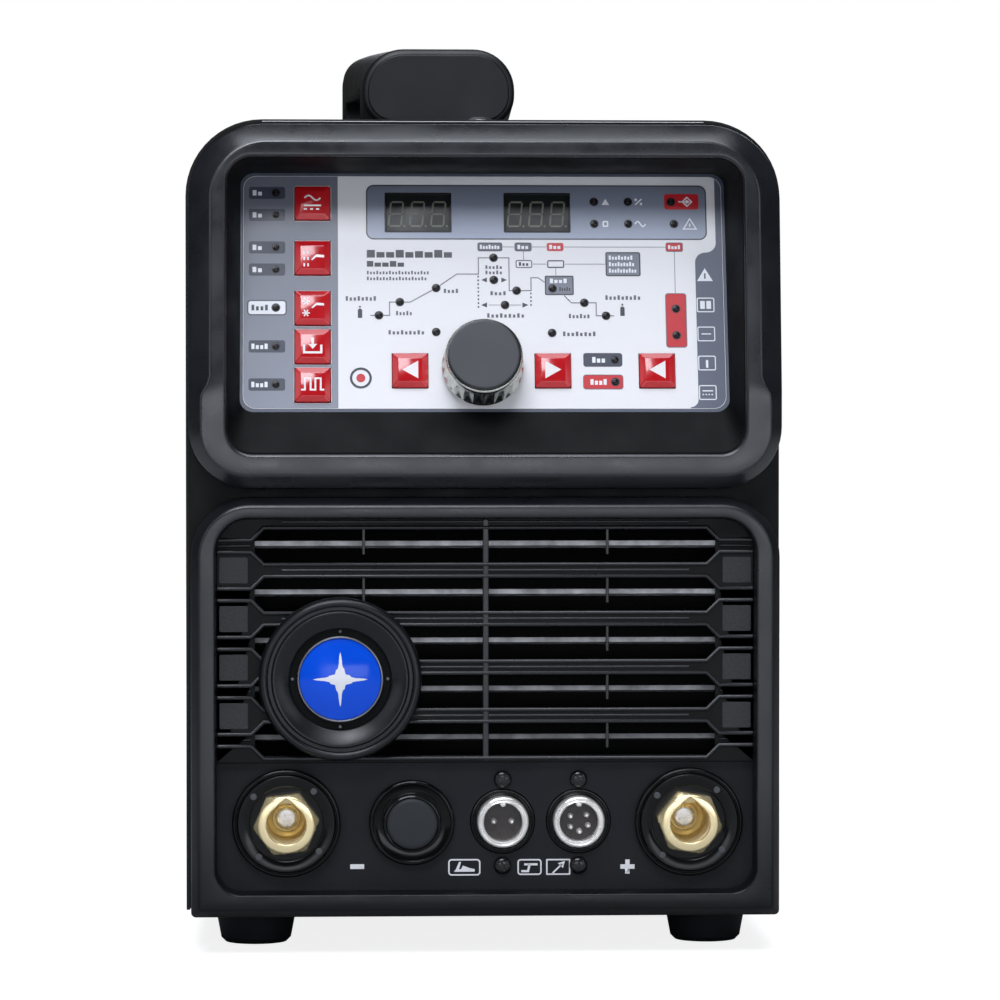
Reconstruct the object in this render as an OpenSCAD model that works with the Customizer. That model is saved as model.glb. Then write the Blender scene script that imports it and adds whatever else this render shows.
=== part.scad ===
// Inverter TIG welding machine: sheet-metal case, moulded front with a leaning control panel,
// air grille, output sockets, rear fan and the power parts inside.
// The front faces -Y, +Z is up and the origin is on the floor under the middle of the machine.

/* [Case] */
// Width across the sheet-metal housing
case_w = 202; // [190:1:230]
// Height of the housing, without the feet
case_h = 268.5; // [260:0.5:290]
// Length of the housing
case_l = 372; // [360:1:420]
// Thickness of the housing sheet
sheet_t = 1.2; // [1:0.1:2]
// Outside radius of the two top bends
bend_r = 26; // [20:1:30]
// Height of the rubber feet
foot_h = 13; // [10:1:20]

/* [Front] */
// How far the front rim stands ahead of the housing edge
front_reach = 29; // [27:1:34]
// Width of the moulded bezels
bezel_w = 199; // [180:0.5:200]
// Height of the lower bezel
lower_h = 140.7; // [135:0.1:142]
// Gap between the two bezels
waist_gap = 3; // [2:0.5:5]
// Lean of the upper rim
rim_lean = 7; // [3:0.5:9]
// Lean of the control panel
panel_lean = 16.5; // [12:0.5:18]
// Width of the printed label
label_w = 163; // [150:1:166]
// Height of the printed label
label_h = 82.6; // [78:0.1:84]

/* [Controls] */
// Side of the square push buttons
button_side = 12; // [10:0.5:12.5]
// Travel of the push buttons
button_travel = 0.8; // [0.4:0.1:1]
// Diameter of the knob cap
knob_cap_d = 24.8; // [20:0.1:26]
// Diameter of the knurled knob skirt
knob_d = 27.6; // [26:0.1:32]
// Height of the knob top over the label
knob_h = 16.6; // [14:0.1:18]
// Push travel of the knob
knob_travel = 0.7; // [0.4:0.1:1]

/* [Connections] */
// Bore of the output sockets
socket_bore_d = 13.2; // [9:0.1:13.5]
// Height of the socket row over the floor
socket_z = 44.2; // [40:0.1:46]
// Diameter of the mains cable
cable_d = 9; // [7:0.5:10]
// Diameter of the cooling fan opening
fan_d = 116; // [100:1:116]

/* [Hidden] */
$fn = 64;
eps = 0.05;

case_z0 = foot_h;
case_z1 = foot_h + case_h;
case_y0 = -case_l / 2;
case_y1 = case_l / 2;
fit_gap = 0.2;
moulding_w = case_w - 2 * sheet_t - 2 * fit_gap;
moulding_z1 = case_z1 - sheet_t - fit_gap;
moulding_r = bend_r - sheet_t - fit_gap;
front_y = case_y0 - front_reach;
frame_y = case_y0 - 10;
frame_depth = 24;
panel_wall = 3;

// Shared shapes

// Outline in X and Z with its own radius at the top and bottom corners
module outline(w, z0, z1, top_r, bottom_r) {
    polygon([
        [-w / 2 + bottom_r, z0], [w / 2 - bottom_r, z0], [w / 2, z0 + bottom_r],
        [w / 2, z1 - top_r], [w / 2 - top_r, z1], [-w / 2 + top_r, z1],
        [-w / 2, z1 - top_r], [-w / 2, z0 + bottom_r]
    ]);
    for (side = [-1, 1]) {
        translate([side * (w / 2 - top_r), z1 - top_r]) circle(top_r);
        translate([side * (w / 2 - bottom_r), z0 + bottom_r]) circle(bottom_r);
    }
}

module rounded(w, h, r) {
    translate([0, -h / 2]) outline(w, 0, h, r, r);
}

// Extrudes a child drawn in X and Z from y0 to y1
module along_y(y0, y1) {
    translate([0, y1, 0]) rotate([90, 0, 0]) linear_extrude(y1 - y0) children();
}

// Turns a child that points along +Z so that it points out of the front, along -Y
module facing_front(x, y, z) {
    translate([x, y, z]) rotate([90, 0, 0]) children();
}

// Turns a child that points along +Z so that it points out of the back, along +Y
module facing_back(x, y, z) {
    translate([x, y, z]) rotate([-90, 0, 0]) children();
}

module tube(outer_r, inner_r, h) {
    difference() {
        cylinder(r = outer_r, h = h);
        translate([0, 0, -eps]) cylinder(r = inner_r, h = h + 2 * eps);
    }
}

// Round bar through a list of points with right-angled, rounded corners
module pipe(path, r, bend) {
    last = len(path) - 1;
    for (i = [0 : last - 1]) {
        step = path[i + 1] - path[i];
        dir = step / norm(step);
        start = i == 0 ? path[i] : path[i] + dir * bend;
        finish = i + 1 == last ? path[i + 1] : path[i + 1] - dir * bend;
        translate(start) aim(dir) cylinder(r = r, h = norm(finish - start));
    }
    for (i = [1 : 1 : last - 1]) {
        before = (path[i - 1] - path[i]) / norm(path[i - 1] - path[i]);
        after = (path[i + 1] - path[i]) / norm(path[i + 1] - path[i]);
        up = cross(-before, -after);
        multmatrix([
            [-before[0], -after[0], up[0], path[i][0] + (before[0] + after[0]) * bend],
            [-before[1], -after[1], up[1], path[i][1] + (before[1] + after[1]) * bend],
            [-before[2], -after[2], up[2], path[i][2] + (before[2] + after[2]) * bend]
        ])
            rotate_extrude(angle = 90) translate([bend, 0]) circle(r, $fn = 32);
    }
}

// Points +Z of a child along a unit vector
module aim(dir) {
    rotate([0, acos(dir[2]), atan2(dir[1], dir[0])]) children();
}

// Cross-slotted pan head screw, its head standing on z = 0 and its shank below
module pan_screw(head_d, head_h, shank_d, shank_l) {
    difference() {
        union() {
            cylinder(d = head_d, h = head_h * 0.6);
            translate([0, 0, head_h * 0.6])
                cylinder(d1 = head_d, d2 = head_d * 0.62, h = head_h * 0.4);
        }
        for (turn = [0, 90])
            rotate([0, 0, turn])
                translate([-head_d * 0.3, -head_d * 0.07, head_h * 0.45])
                    cube([head_d * 0.6, head_d * 0.14, head_h]);
    }
    translate([0, 0, -shank_l]) cylinder(d = shank_d, h = shank_l);
}

// Case

foot_x = 77.6;
foot_y = 166;
foot_top_d = 28.4;
foot_bottom_d = 24;
foot_hole_d = 4.5;
chassis_t = 1.5;
chassis_l = case_l - 2 * (frame_depth - 10) - 0.4;
chassis_flange = 26;

module at_feet() {
    for (x = [-foot_x, foot_x], y = [-foot_y, foot_y]) translate([x, y, 0]) children();
}

module base_chassis() {
    w = moulding_w;
    color("dimgray") difference() {
        along_y(-chassis_l / 2, chassis_l / 2) difference() {
            translate([-w / 2, case_z0]) square([w, chassis_flange]);
            translate([-w / 2 + chassis_t, case_z0 + chassis_t])
                square([w - 2 * chassis_t, chassis_flange]);
        }
        at_feet() cylinder(d = foot_hole_d, h = 2 * foot_h);
        for (row = [-3 : 3])
            translate([-30, row * 26 - 3, case_z0 - 1]) cube([60, 6, chassis_t + 2]);
        at_side_screws() cylinder(d = side_screw_d + 0.2, h = 8, center = true);
    }
}

louvre_rows = 9;
louvre_pitch = 9;
louvre_len = 42;
louvre_gap = 3.2;
louvre_z = 84;
louvre_y = [52, 112];

module at_louvres() {
    for (side = [-1, 1], y = louvre_y, row = [0 : louvre_rows - 1])
        translate([side * (case_w / 2 - sheet_t / 2), y, louvre_z + row * louvre_pitch])
            rotate([0, 0, side < 0 ? 180 : 0]) children();
}

side_screw_d = 3.8;
side_screw_z = 26;

module at_side_screws() {
    for (side = [-1, 1], y = [-146, 0, 146])
        translate([side * case_w / 2, y, side_screw_z]) rotate([0, side * 90, 0]) children();
}

// Screw with a head flush with the sheet, its top at z = 0
module flush_screw(d, l) {
    head_h = sheet_t - 0.1;
    difference() {
        union() {
            translate([0, 0, -head_h]) cylinder(d1 = d, d2 = d + 3.4, h = head_h);
            translate([0, 0, -l]) cylinder(d = d, h = l - head_h);
        }
        for (turn = [0, 90])
            rotate([0, 0, turn]) translate([-d * 0.45, -0.4, -0.7]) cube([d * 0.9, 0.8, 1]);
    }
}

top_screw_y = [-158, 158];

module housing_cover() {
    inner_w = case_w - 2 * sheet_t;
    lip = 7;
    color("#1b1c1f") {
        difference() {
            along_y(case_y0, case_y1) difference() {
                outline(case_w, case_z0 - 5, case_z1, bend_r, 2);
                outline(inner_w, case_z0 - 10, case_z1 - sheet_t, bend_r - sheet_t, 2);
                translate([-case_w, case_z0 - 20]) square([2 * case_w, 20]);
            }
            at_louvres() cube([sheet_t * 3, louvre_len, louvre_gap], center = true);
            at_side_screws()
                translate([0, 0, -sheet_t]) cylinder(d1 = 4.2, d2 = 7.6, h = sheet_t + eps);
            for (y = top_screw_y) translate([0, y, case_z1]) cylinder(d = 4.5, h = 6, center = true);
            for (y = handle_screw_y)
                translate([handle_x, y, case_z1]) cylinder(d = 5.5, h = 6, center = true);
        }
        at_louvres()
            translate([-0.35, -louvre_len / 2 - 0.6, louvre_gap / 2 + 0.3])
                rotate([0, 38, 0]) translate([-0.5, 0, -lip]) cube([0.9, louvre_len + 1.2, lip]);
    }
}

module feet() {
    recess_d = 11;
    recess_h = 6;
    color("#161616") at_feet() difference() {
        union() {
            translate([0, 0, 1.5])
                cylinder(d1 = foot_bottom_d, d2 = foot_top_d, h = foot_h - 1.5);
            cylinder(d1 = foot_bottom_d - 3, d2 = foot_bottom_d, h = 1.5);
        }
        translate([0, 0, -eps]) cylinder(d = recess_d, h = recess_h + 2 * eps);
        cylinder(d = foot_hole_d, h = 2 * foot_h);
    }
}

handle_x = -14;
handle_w = 53;
handle_y = [-146, 112];
handle_front_h = 27;
handle_rear_h = 40;
handle_screw_y = [-126, 84];
grip_gap = [-104, 52];
grip_gap_h = [15, 21];
handle_seat = 0.1;
handle_end_r = [13.4, 11];

module handle() {
    z0 = case_z1 + handle_seat;
    color("#18191b") difference() {
        hull() {
            translate([handle_x, 0, 0]) along_y(handle_y[0], handle_y[0] + 1)
                outline(handle_w, z0, z0 + handle_front_h, handle_end_r[0], handle_end_r[1]);
            translate([handle_x - 1, 0, 0]) along_y(handle_y[1] - 50, handle_y[1] - 12)
                outline(handle_w + 8, z0, z0 + handle_rear_h, 9, 2);
            translate([handle_x - 1, 0, 0]) along_y(handle_y[1] - 1, handle_y[1])
                outline(handle_w + 6, z0, z0 + handle_rear_h * 0.6, 6, 2);
        }
        hull()
            for (end = [0, 1], z = [-2, grip_gap_h[end] - 6])
                translate([handle_x, grip_gap[end] + 6 - 12 * end, z0 + z])
                    rotate([0, 90, 0]) cylinder(r = 6, h = 90, center = true, $fn = 32);
        for (y = handle_screw_y) translate([handle_x, y, z0 - 1]) cylinder(d = 4.9, h = 17);
    }
}

// Front mouldings

lower_z0 = case_z0;
lower_z1 = case_z0 + lower_h;
upper_z0 = lower_z1 + waist_gap;
upper_z1 = case_z1 - 2.3;
lower_front_y = front_y + 2;
grille_y = lower_front_y + 7;
bezel_wall = 3;
lower_w = bezel_w - 1.2;

window_w = 181.4;
window_z0 = 20.9;
window_z1 = 147;
panel_window_z1 = 64.5;
slot_pitch = 16.3;
slot_h = 12.4;
slot_half = 74.5;
slot_reach = 90;
neck_h = 4;
first_slot_z = 72.2;
badge_x = -48.9;
badge_z = 92.9;
badge_r = 27.3;

module front_frame() {
    w = moulding_w;
    web = 3;
    skirt = 3;
    color("#1d1e21") difference() {
        union() {
            along_y(frame_y, frame_y + web) outline(w, case_z0, moulding_z1, moulding_r, 3);
            along_y(frame_y, frame_y + frame_depth) difference() {
                outline(w, case_z0, moulding_z1, moulding_r, 3);
                outline(w - 2 * skirt, case_z0 + skirt, moulding_z1 - skirt, moulding_r - skirt, 1);
            }
        }
        along_y(frame_y - 1, frame_y + web + 1) {
            outline(window_w + 4, lower_z0 + 5, lower_z1 - 4, 8, 4);
            outline(178, upper_z0 + 12, upper_z1 - 8, 12, 6);
        }
    }
}

rim_tilt = [90 - rim_lean, 0, 0];

// Frame of the upper rim: X across, Y up along the rim, Z out of it, from its bottom edge
module on_rim(depth) {
    translate([0, front_y, upper_z0 + 4.6]) rotate(rim_tilt) translate([0, 0, depth]) children();
}

rim_len = (upper_z1 - upper_z0 - 10.5) / cos(rim_lean);
recess_w = 174.6;
recess_len = 101.4;
label_y = front_y + 23.7;
label_z = 223;

// Frame of the control panel: X across, Y up along the panel, Z out of it, from its middle
module on_panel(x = 0, y = 0, depth = 0) {
    translate([0, label_y, label_z]) rotate([90 - panel_lean, 0, 0])
        translate([x, y, depth]) children();
}

module bezel_block(inset) {
    hull() {
        along_y(frame_y - 0.5, frame_y)
            outline(bezel_w - 2 * inset, upper_z0 + inset, upper_z1 - inset, 25 - inset, 21 - inset);
        on_rim(-6 - inset) linear_extrude(0.2)
            outline(bezel_w - 2 * inset, inset - 4, rim_len + 5 - inset, 25 - inset, 21 - inset);
        on_rim(-0.2 - inset) linear_extrude(0.2)
            outline(bezel_w - 13 - 2 * inset, inset, rim_len - inset, 19 - inset, 16 - inset);
    }
}

module bezel_recess(grow) {
    hull() {
        on_rim(-0.2) linear_extrude(1.4)
            outline(recess_w + 2 * grow, 6.6 - grow, 6.6 + recess_len + grow, 9 + grow, 9 + grow);
        on_panel() linear_extrude(0.2)
            rounded(label_w + 1.4 + 2 * grow, label_h + 1.4 + 2 * grow, 4.5 + grow);
    }
}

module control_bezel() {
    color("#202125") difference() {
        union() {
            difference() {
                bezel_block(0);
                translate([0, 0.1, 0]) bezel_block(bezel_wall);
            }
            intersection() {
                bezel_block(0);
                bezel_recess(2.4);
            }
        }
        bezel_recess(0);
        translate([-bezel_w, frame_y, 0]) cube([2 * bezel_w, frame_depth, 2 * upper_z1]);
    }
}

module slot_outline() {
    ramp = (slot_h - neck_h) / 2;
    for (side = [0, 1]) mirror([side, 0])
        polygon([
            [0, -slot_h / 2], [slot_half, -slot_h / 2], [slot_half + ramp, -neck_h / 2],
            [slot_reach, -neck_h / 2], [slot_reach, neck_h / 2], [slot_half + ramp, neck_h / 2],
            [slot_half, slot_h / 2], [0, slot_h / 2]
        ]);
}

module grille_bezel() {
    chamfer = 2.7;
    rib = 2;
    side_rib = 1;
    color("#202125") difference() {
        hull() {
            along_y(lower_front_y + 5, frame_y) outline(lower_w, lower_z0, lower_z1, 20, 3);
            along_y(lower_front_y, lower_front_y + 1)
                outline(lower_w - 2 * chamfer, lower_z0 + chamfer, lower_z1 - chamfer, 17, 3);
        }
        along_y(lower_front_y - 1, grille_y) outline(window_w, window_z0, window_z1, 11.5, 8.8);
        along_y(grille_y + panel_wall, frame_y + 1)
            outline(lower_w - 2 * bezel_wall, lower_z0 + bezel_wall, lower_z1 - bezel_wall, 17, 2);
        along_y(grille_y - 1, grille_y + panel_wall + 1)
            outline(window_w, window_z0, panel_window_z1, 1, 8.8);
        for (row = [0 : 4]) difference() {
            along_y(grille_y - 1, grille_y + panel_wall + 1)
                translate([0, first_slot_z + row * slot_pitch]) slot_outline();
            along_y(grille_y - 1, grille_y + panel_wall + 1) {
                translate([badge_x, badge_z]) circle(badge_r - 0.5);
                translate([-rib / 2, 0]) square([rib, case_z1]);
            }
            for (x = [-41, 41])
                along_y(grille_y + 0.6, grille_y + panel_wall + 1)
                    translate([x - side_rib / 2, first_slot_z + row * slot_pitch - slot_h / 4])
                        square([side_rib, slot_h]);
        }
    }
}

module air_louvre() {
    half = 87;
    rail = 2;
    y = grille_y + panel_wall + 0.6;
    color("#8a8c92") {
        for (row = [0 : 4])
            translate([-half, y + 0.4, first_slot_z + row * slot_pitch])
                rotate([-8, 0, 0]) cube([2 * half, 8, 1.6]);
        for (side = [-1, 1])
            translate([side * (half - rail / 2) - rail / 2, y, 67]) cube([rail, 9, 80]);
    }
}

badge_profile = [
    [0, 0], [badge_r, 0], [badge_r, 5.4], [badge_r - 1.4, 7.6], [badge_r - 2.4, 7.6],
    [badge_r - 3.4, 6], [badge_r - 4.6, 6], [badge_r - 5.6, 7], [18, 5.6], [17, 3.6],
    [14.6, 3.2], [14.6, 1.2], [0, 1.2]
];

module badge_ring() {
    color("#1a1b1d") facing_front(badge_x, grille_y, badge_z)
        rotate_extrude() polygon(badge_profile);
}

module badge_dome() {
    dome_r = 13.9;
    rise = 2.6;
    ball_r = (dome_r * dome_r + rise * rise) / (2 * rise);
    color("#1a4fd0") facing_front(badge_x, grille_y, badge_z) {
        translate([0, 0, 1.2]) cylinder(r = dome_r, h = 2.4);
        translate([0, 0, 3.6 - eps]) intersection() {
            cylinder(r = dome_r, h = rise + 1);
            translate([0, 0, rise - ball_r]) sphere(ball_r, $fn = 96);
        }
    }
}

// Control panel

button_spots = [
    [-58, 31.4], [-58, 11.8], [-58, -6], [-58, -19.6], [-58, -33.1],
    [-25.2, -28], [23, -28], [58.2, -28]
];
knob_spot = [-0.8, -27.2];
display_spots = [[-22.1, 28.3], [18.4, 28.3]];
display_size = [22.4, 14];
led_r = 1.25;
tag_led_x = -70.4;
led_spots = concat(
    [for (y = [35.2, 27.3, 15.7, 7.8, -5.7, -19.4, -32.8]) [tag_led_x, y]],
    [for (x = [37.9, 49.5], y = [32.2, 24.3]) [x, y]],
    [[64.2, 32.2], [65.1, 24.3]],
    [[-35.6, -8.4], [-28.5, -3.7], [-16.2, 1.3], [3.4, 12.1], [11.1, 0.4], [23.3, 1.2]],
    [[34, -3.9], [41.3, -8.5], [3.4, 4.2], [7.1, -4.7], [-16.3, -14.3], [22.9, -14.6]],
    [[44, -24.1], [44, -31.9], [65.1, -6], [65.1, -15.4]]
);
label_t = 0.4;
tray_t = 3;
board_depth = 12;
board_t = 1.6;

module panel_holes(clear) {
    for (p = button_spots) translate(p) square(button_side + 0.4, center = true);
    for (p = display_spots) translate(p) square(display_size + [clear, clear], center = true);
    for (p = led_spots) translate(p) circle(led_r + 0.15, $fn = 24);
    translate(knob_spot) circle(3.8);
}

module control_tray() {
    color("#5b6472") on_panel() difference() {
        translate([0, 0, -tray_t]) linear_extrude(tray_t) difference() {
            rounded(label_w + 5.6, label_h + 5.6, 6);
            panel_holes(0.4);
        }
        translate([0, 0, -label_t]) linear_extrude(1) rounded(label_w + 0.2, label_h + 0.2, 4.5);
    }
}

module panel_label() {
    color("#e9ebf2") on_panel(0, 0, -label_t) linear_extrude(label_t) difference() {
        rounded(label_w, label_h, 4.4);
        panel_holes(0.4);
    }
}

module display(spot) {
    color("#23241f") on_panel(spot[0], spot[1], -board_depth + board_t)
        translate([-display_size[0] / 2, -display_size[1] / 2, 0])
            cube([display_size[0], display_size[1], board_depth - board_t - 0.8]);
}

module display_left() { display(display_spots[0]); }
module display_right() { display(display_spots[1]); }

module indicator_leds() {
    color("#3a1012") for (p = led_spots)
        on_panel(p[0], p[1], -board_depth + board_t) {
            cylinder(r = led_r, h = board_depth - board_t, $fn = 24);
        }
}

// Red key cap with a flange that keeps it behind the tray
module push_button(i) {
    cap_h = 1.7;
    flange_h = 0.8;
    flange = 0.65;
    side = button_side;
    color("#c81018") on_panel(button_spots[i][0], button_spots[i][1], -tray_t - 0.2 - flange_h) {
        translate([-side / 2 - flange, -side / 2 - flange, 0])
            cube([side + 2 * flange, side + 2 * flange, flange_h]);
        translate([-side / 2, -side / 2, 0])
            cube([side, side, tray_t + 0.2 + flange_h + cap_h - 0.6]);
        translate([-side / 2 + 0.8, -side / 2 + 0.8, 0])
            cube([side - 1.6, side - 1.6, tray_t + 0.2 + flange_h + cap_h]);
    }
}

module ac_dc_button() { push_button(0); }
module trigger_button() { push_button(1); }
module cold_weld_button() { push_button(2); }
module memory_button() { push_button(3); }
module pulse_button() { push_button(4); }
module back_button() { push_button(5); }
module forward_button() { push_button(6); }
module select_button() { push_button(7); }

encoder_side = 12.4;
encoder_h = 6;
shaft_r = 2;
sleeve_r = 2.85;
run_gap = 0.05;
encoder_z = -board_depth + board_t;

module encoder_body() {
    cavity_r = 4.6;
    color("#9aa0a8") on_panel(knob_spot[0], knob_spot[1], encoder_z) difference() {
        union() {
            translate([-encoder_side / 2, -encoder_side / 2, 0])
                cube([encoder_side, encoder_side, encoder_h]);
            cylinder(r = 3.5, h = encoder_h + 5.4);
        }
        translate([0, 0, 1]) cylinder(r = cavity_r, h = encoder_h - 2);
        translate([0, 0, 2]) cylinder(r = sleeve_r + run_gap, h = encoder_h + 5.4);
    }
}

module d_shape(r, flat) {
    intersection() {
        circle(r);
        translate([-r, -r]) square([2 * r, r + flat]);
    }
}

module encoder_rotor() {
    color("#c8ccd2") on_panel(knob_spot[0], knob_spot[1], encoder_z + 1.2) difference() {
        union() {
            cylinder(r = 4.5, h = encoder_h - 2.4);
            cylinder(r = sleeve_r, h = encoder_h + 3.6);
        }
        translate([0, 0, -1]) linear_extrude(encoder_h + 6)
            d_shape(shaft_r + run_gap, shaft_r - 0.5 + run_gap);
    }
}

module encoder_shaft() {
    color("#b9bdc4") on_panel(knob_spot[0], knob_spot[1], encoder_z + 2.1)
        linear_extrude(23) d_shape(shaft_r, shaft_r - 0.5);
}

knob_base = 2;

module knob_skirt() {
    flutes = 24;
    bore = shaft_r;
    color("#c9cbd0") on_panel(knob_spot[0], knob_spot[1], knob_base) difference() {
        union() {
            cylinder(d = knob_d, h = 4);
            translate([0, 0, 4]) cylinder(d1 = knob_d, d2 = knob_cap_d + 0.8, h = knob_h - knob_base - 5.2);
        }
        translate([0, 0, -eps]) tube(knob_d / 2 - 1.6, 4.2, 4);
        translate([0, 0, -eps]) cylinder(r = 4.3, h = 1.2);
        translate([0, 0, -1]) linear_extrude(knob_h) d_shape(bore, bore - 0.5);
        for (i = [0 : flutes - 1]) rotate([0, 0, i * 360 / flutes])
            translate([knob_d / 2 + 0.9, 0, -1]) cylinder(r = 1.4, h = knob_h, $fn = 16);
    }
}

module knob_cap() {
    cap_h = 1.2;
    color("#3f4145") on_panel(knob_spot[0], knob_spot[1], knob_h - cap_h) {
        cylinder(d = knob_cap_d, h = cap_h * 0.6);
        translate([0, 0, cap_h * 0.6]) cylinder(d1 = knob_cap_d, d2 = knob_cap_d - 1, h = cap_h * 0.4);
    }
}

module control_board() {
    tact = 6;
    color("#1f5a37") on_panel(0, 0, -board_depth) {
        linear_extrude(board_t) rounded(156, 76, 2);
        for (p = button_spots) translate([p[0] - tact / 2, p[1] - tact / 2, board_t - eps])
            cube([tact, tact, 3.4]);
        for (p = button_spots) translate([p[0], p[1], board_t]) cylinder(r = 1.7, h = 4.8);
        translate([30, 4, board_t - eps]) cube([14, 14, 2.2]);
        translate([-48, -2, -9]) cube([24, 7, 9 + eps]);
        translate([10, -14, -6]) cube([30, 12, 6 + eps]);
    }
}

// Output sockets and connectors

connector_y = grille_y + panel_wall;
panel_t = 3;
socket_x = [-67, 68.6];
plug_x = -24.8;
connector_x = [5.8, 31.4];
connector_z = 44.4;
pad_r = 11;
pad_depth = 1;
shell_r = 8.7;
connector_screw_z = [29.5, 58.6];
connector_screw_d = 2.6;
socket_barrel_r = 14;
key_r = 1.1;
insert_r = 9.6;

module connector_panel() {
    y = connector_y;
    w = 186;
    top_z = 66.6;
    color("#232427") difference() {
        along_y(y, y + panel_t) outline(w, lower_z0 + bezel_wall + 0.2, top_z, 1, 1);
        for (x = socket_x) facing_front(x, y + panel_t + 1, socket_z)
            cylinder(r = socket_barrel_r + 0.1, h = panel_t + 2);
        facing_front(plug_x, y + panel_t + 1, socket_z) cylinder(r = 8.1, h = panel_t + 2);
        for (x = connector_x) {
            facing_front(x, y + panel_t + 1, connector_z) cylinder(r = 7.6, h = panel_t + 2);
            facing_front(x, y + pad_depth, connector_z) cylinder(r = pad_r, h = pad_depth + 1);
            for (z = connector_screw_z)
                facing_front(x, y + panel_t + 1, z) cylinder(d = connector_screw_d + 0.2, h = panel_t + 2);
        }
    }
}

// Black flange of an output socket with its barrel and clamping nut behind the panel
module socket_flange(x) {
    color("#141416") facing_front(x, connector_y, socket_z) difference() {
        union() {
            cylinder(r = 18.2, h = 3);
            translate([0, 0, 3]) cylinder(r1 = 18.2, r2 = 17.4, h = 0.8);
            cylinder(r = 15.6, h = 5.4);
            translate([0, 0, -18]) cylinder(r = socket_barrel_r, h = 18);
            translate([0, 0, -8 - panel_t - 0.2]) cylinder(r = 18.5, h = 8, $fn = 6);
        }
        translate([0, 0, 1.2]) cylinder(d = 25.6, h = 8, $fn = 6);
        translate([0, 0, -20]) cylinder(r = insert_r + 0.02, h = 30);
    }
}

// Brass contact of an output socket, with its key way, plug bore and rear stud
module socket_insert(x) {
    bore_r = socket_bore_d / 2;
    hex_d = 19.6 / cos(30);
    bore_depth = 28;
    color("#c79a3a") facing_front(x, connector_y, socket_z) difference() {
        union() {
            translate([0, 0, 1.4]) cylinder(d = hex_d, h = 5.2, $fn = 6);
            translate([0, 0, 6.6]) cylinder(r = insert_r, h = 1.4);
            translate([0, 0, -26]) cylinder(r = insert_r, h = 27.6);
            translate([0, 0, -44]) cylinder(r = 5, h = 18.2);
        }
        translate([0, 0, 8 - bore_depth]) cylinder(r = bore_r, h = bore_depth + 1);
        translate([-2.2, 0, 2]) cube([4.4, bore_r + 2, 8]);
    }
}

module negative_flange() { socket_flange(socket_x[0]); }
module positive_flange() { socket_flange(socket_x[1]); }
module negative_insert() { socket_insert(socket_x[0]); }
module positive_insert() { socket_insert(socket_x[1]); }

module blank_plug() {
    color("#131315") facing_front(plug_x, connector_y, socket_z) {
        cylinder(r = 14.4, h = 2);
        translate([0, 0, 2]) cylinder(r1 = 14.4, r2 = 13.4, h = 1);
        cylinder(r = 9.7, h = 6.2);
        translate([0, 0, 6.2]) cylinder(r1 = 9.7, r2 = 8.4, h = 1.2);
        translate([0, 0, -10]) cylinder(r = 8, h = 10);
    }
}

module connector_shells() {
    color("#c4c7cc") for (x = connector_x)
        facing_front(x, connector_y + pad_depth, connector_z) difference() {
            union() {
                cylinder(r = shell_r, h = 5.2);
                translate([0, 0, 5.2]) cylinder(r1 = shell_r, r2 = shell_r - 0.6, h = 0.6);
                translate([0, 0, -15]) cylinder(r = 7.5, h = 15);
                translate([0, 0, -2.4 - panel_t + pad_depth]) cylinder(r = 9.6, h = 2.2, $fn = 6);
            }
            difference() {
                translate([0, 0, -16]) cylinder(r = 6.4, h = 24);
                translate([0, 6.4, 0]) cylinder(r = key_r, h = 4.6);
            }
        }
}

two_pins = [[-3, 0], [3, 0]];
five_pins = [[-2.7, 1.7], [2.7, 2.1], [-2.7, -1.9], [3.2, -1.4], [0.3, -3.4]];

module at_pins() {
    for (p = two_pins)
        facing_front(connector_x[0] + p[0], connector_y + pad_depth, connector_z + p[1]) children();
    for (p = five_pins)
        facing_front(connector_x[1] + p[0], connector_y + pad_depth, connector_z + p[1]) children();
}

module connector_inserts() {
    color("#2a2b2d") difference() {
        for (x = connector_x) facing_front(x, connector_y + pad_depth + 12, connector_z)
            cylinder(r = 6.38, h = 12);
        at_pins() cylinder(r = 0.82, h = 60, center = true);
    }
}

module connector_pins() {
    color("#d8dade") at_pins() {
        translate([0, 0, -17]) cylinder(r = 0.8, h = 20);
        translate([0, 0, 3]) cylinder(r1 = 0.8, r2 = 0.4, h = 0.8);
    }
}

module connector_screws() {
    color("#2c2d30") for (x = connector_x, z = connector_screw_z)
        facing_front(x, connector_y, z) pan_screw(5.8, 2, connector_screw_d, 8);
}

// Rear panel, fan, switch, gas and mains

rear_y = case_y1 - 2;
fan_x = -24;
fan_z = 96;
fan_side = 120;
fan_hole = 52.5;
fan_depth = 25;
switch_x = -60;
rear_row_z = 222;
gas_x = 12;
gland_x = 70;
switch_w = 25;
switch_h = 31;
gland_r = 8;
inlet_r = 6.5;
inlet_tip = 218.32;

module rear_panel() {
    w = moulding_w;
    wall = 1.5;
    color("#232427") difference() {
        union() {
            along_y(rear_y, case_y1) outline(w, case_z0, moulding_z1, moulding_r, 3);
            along_y(rear_y - 12, rear_y + eps) difference() {
                outline(w, case_z0, moulding_z1, moulding_r, 3);
                outline(w - 2 * wall, case_z0 + wall, moulding_z1 - wall, moulding_r - wall, 1.5);
            }
        }
        facing_back(fan_x, rear_y - 1, fan_z) cylinder(d = fan_d, h = 4);
        for (sx = [-1, 1], sz = [-1, 1])
            facing_back(fan_x + sx * fan_hole, rear_y - 1, fan_z + sz * fan_hole) cylinder(d = 4.4, h = 4);
        along_y(rear_y - 1, case_y1 + 1)
            translate([switch_x, rear_row_z]) square([switch_w + 0.4, switch_h + 0.4], center = true);
        facing_back(gas_x, rear_y - 1, rear_row_z) cylinder(r = inlet_r + 0.1, h = 4);
        facing_back(gland_x, rear_y - 1, rear_row_z) cylinder(r = gland_r + 0.1, h = 4);
        facing_back(gland_x, rear_y - 1, 34) cylinder(d = 5.3, h = 4);
    }
}

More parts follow.
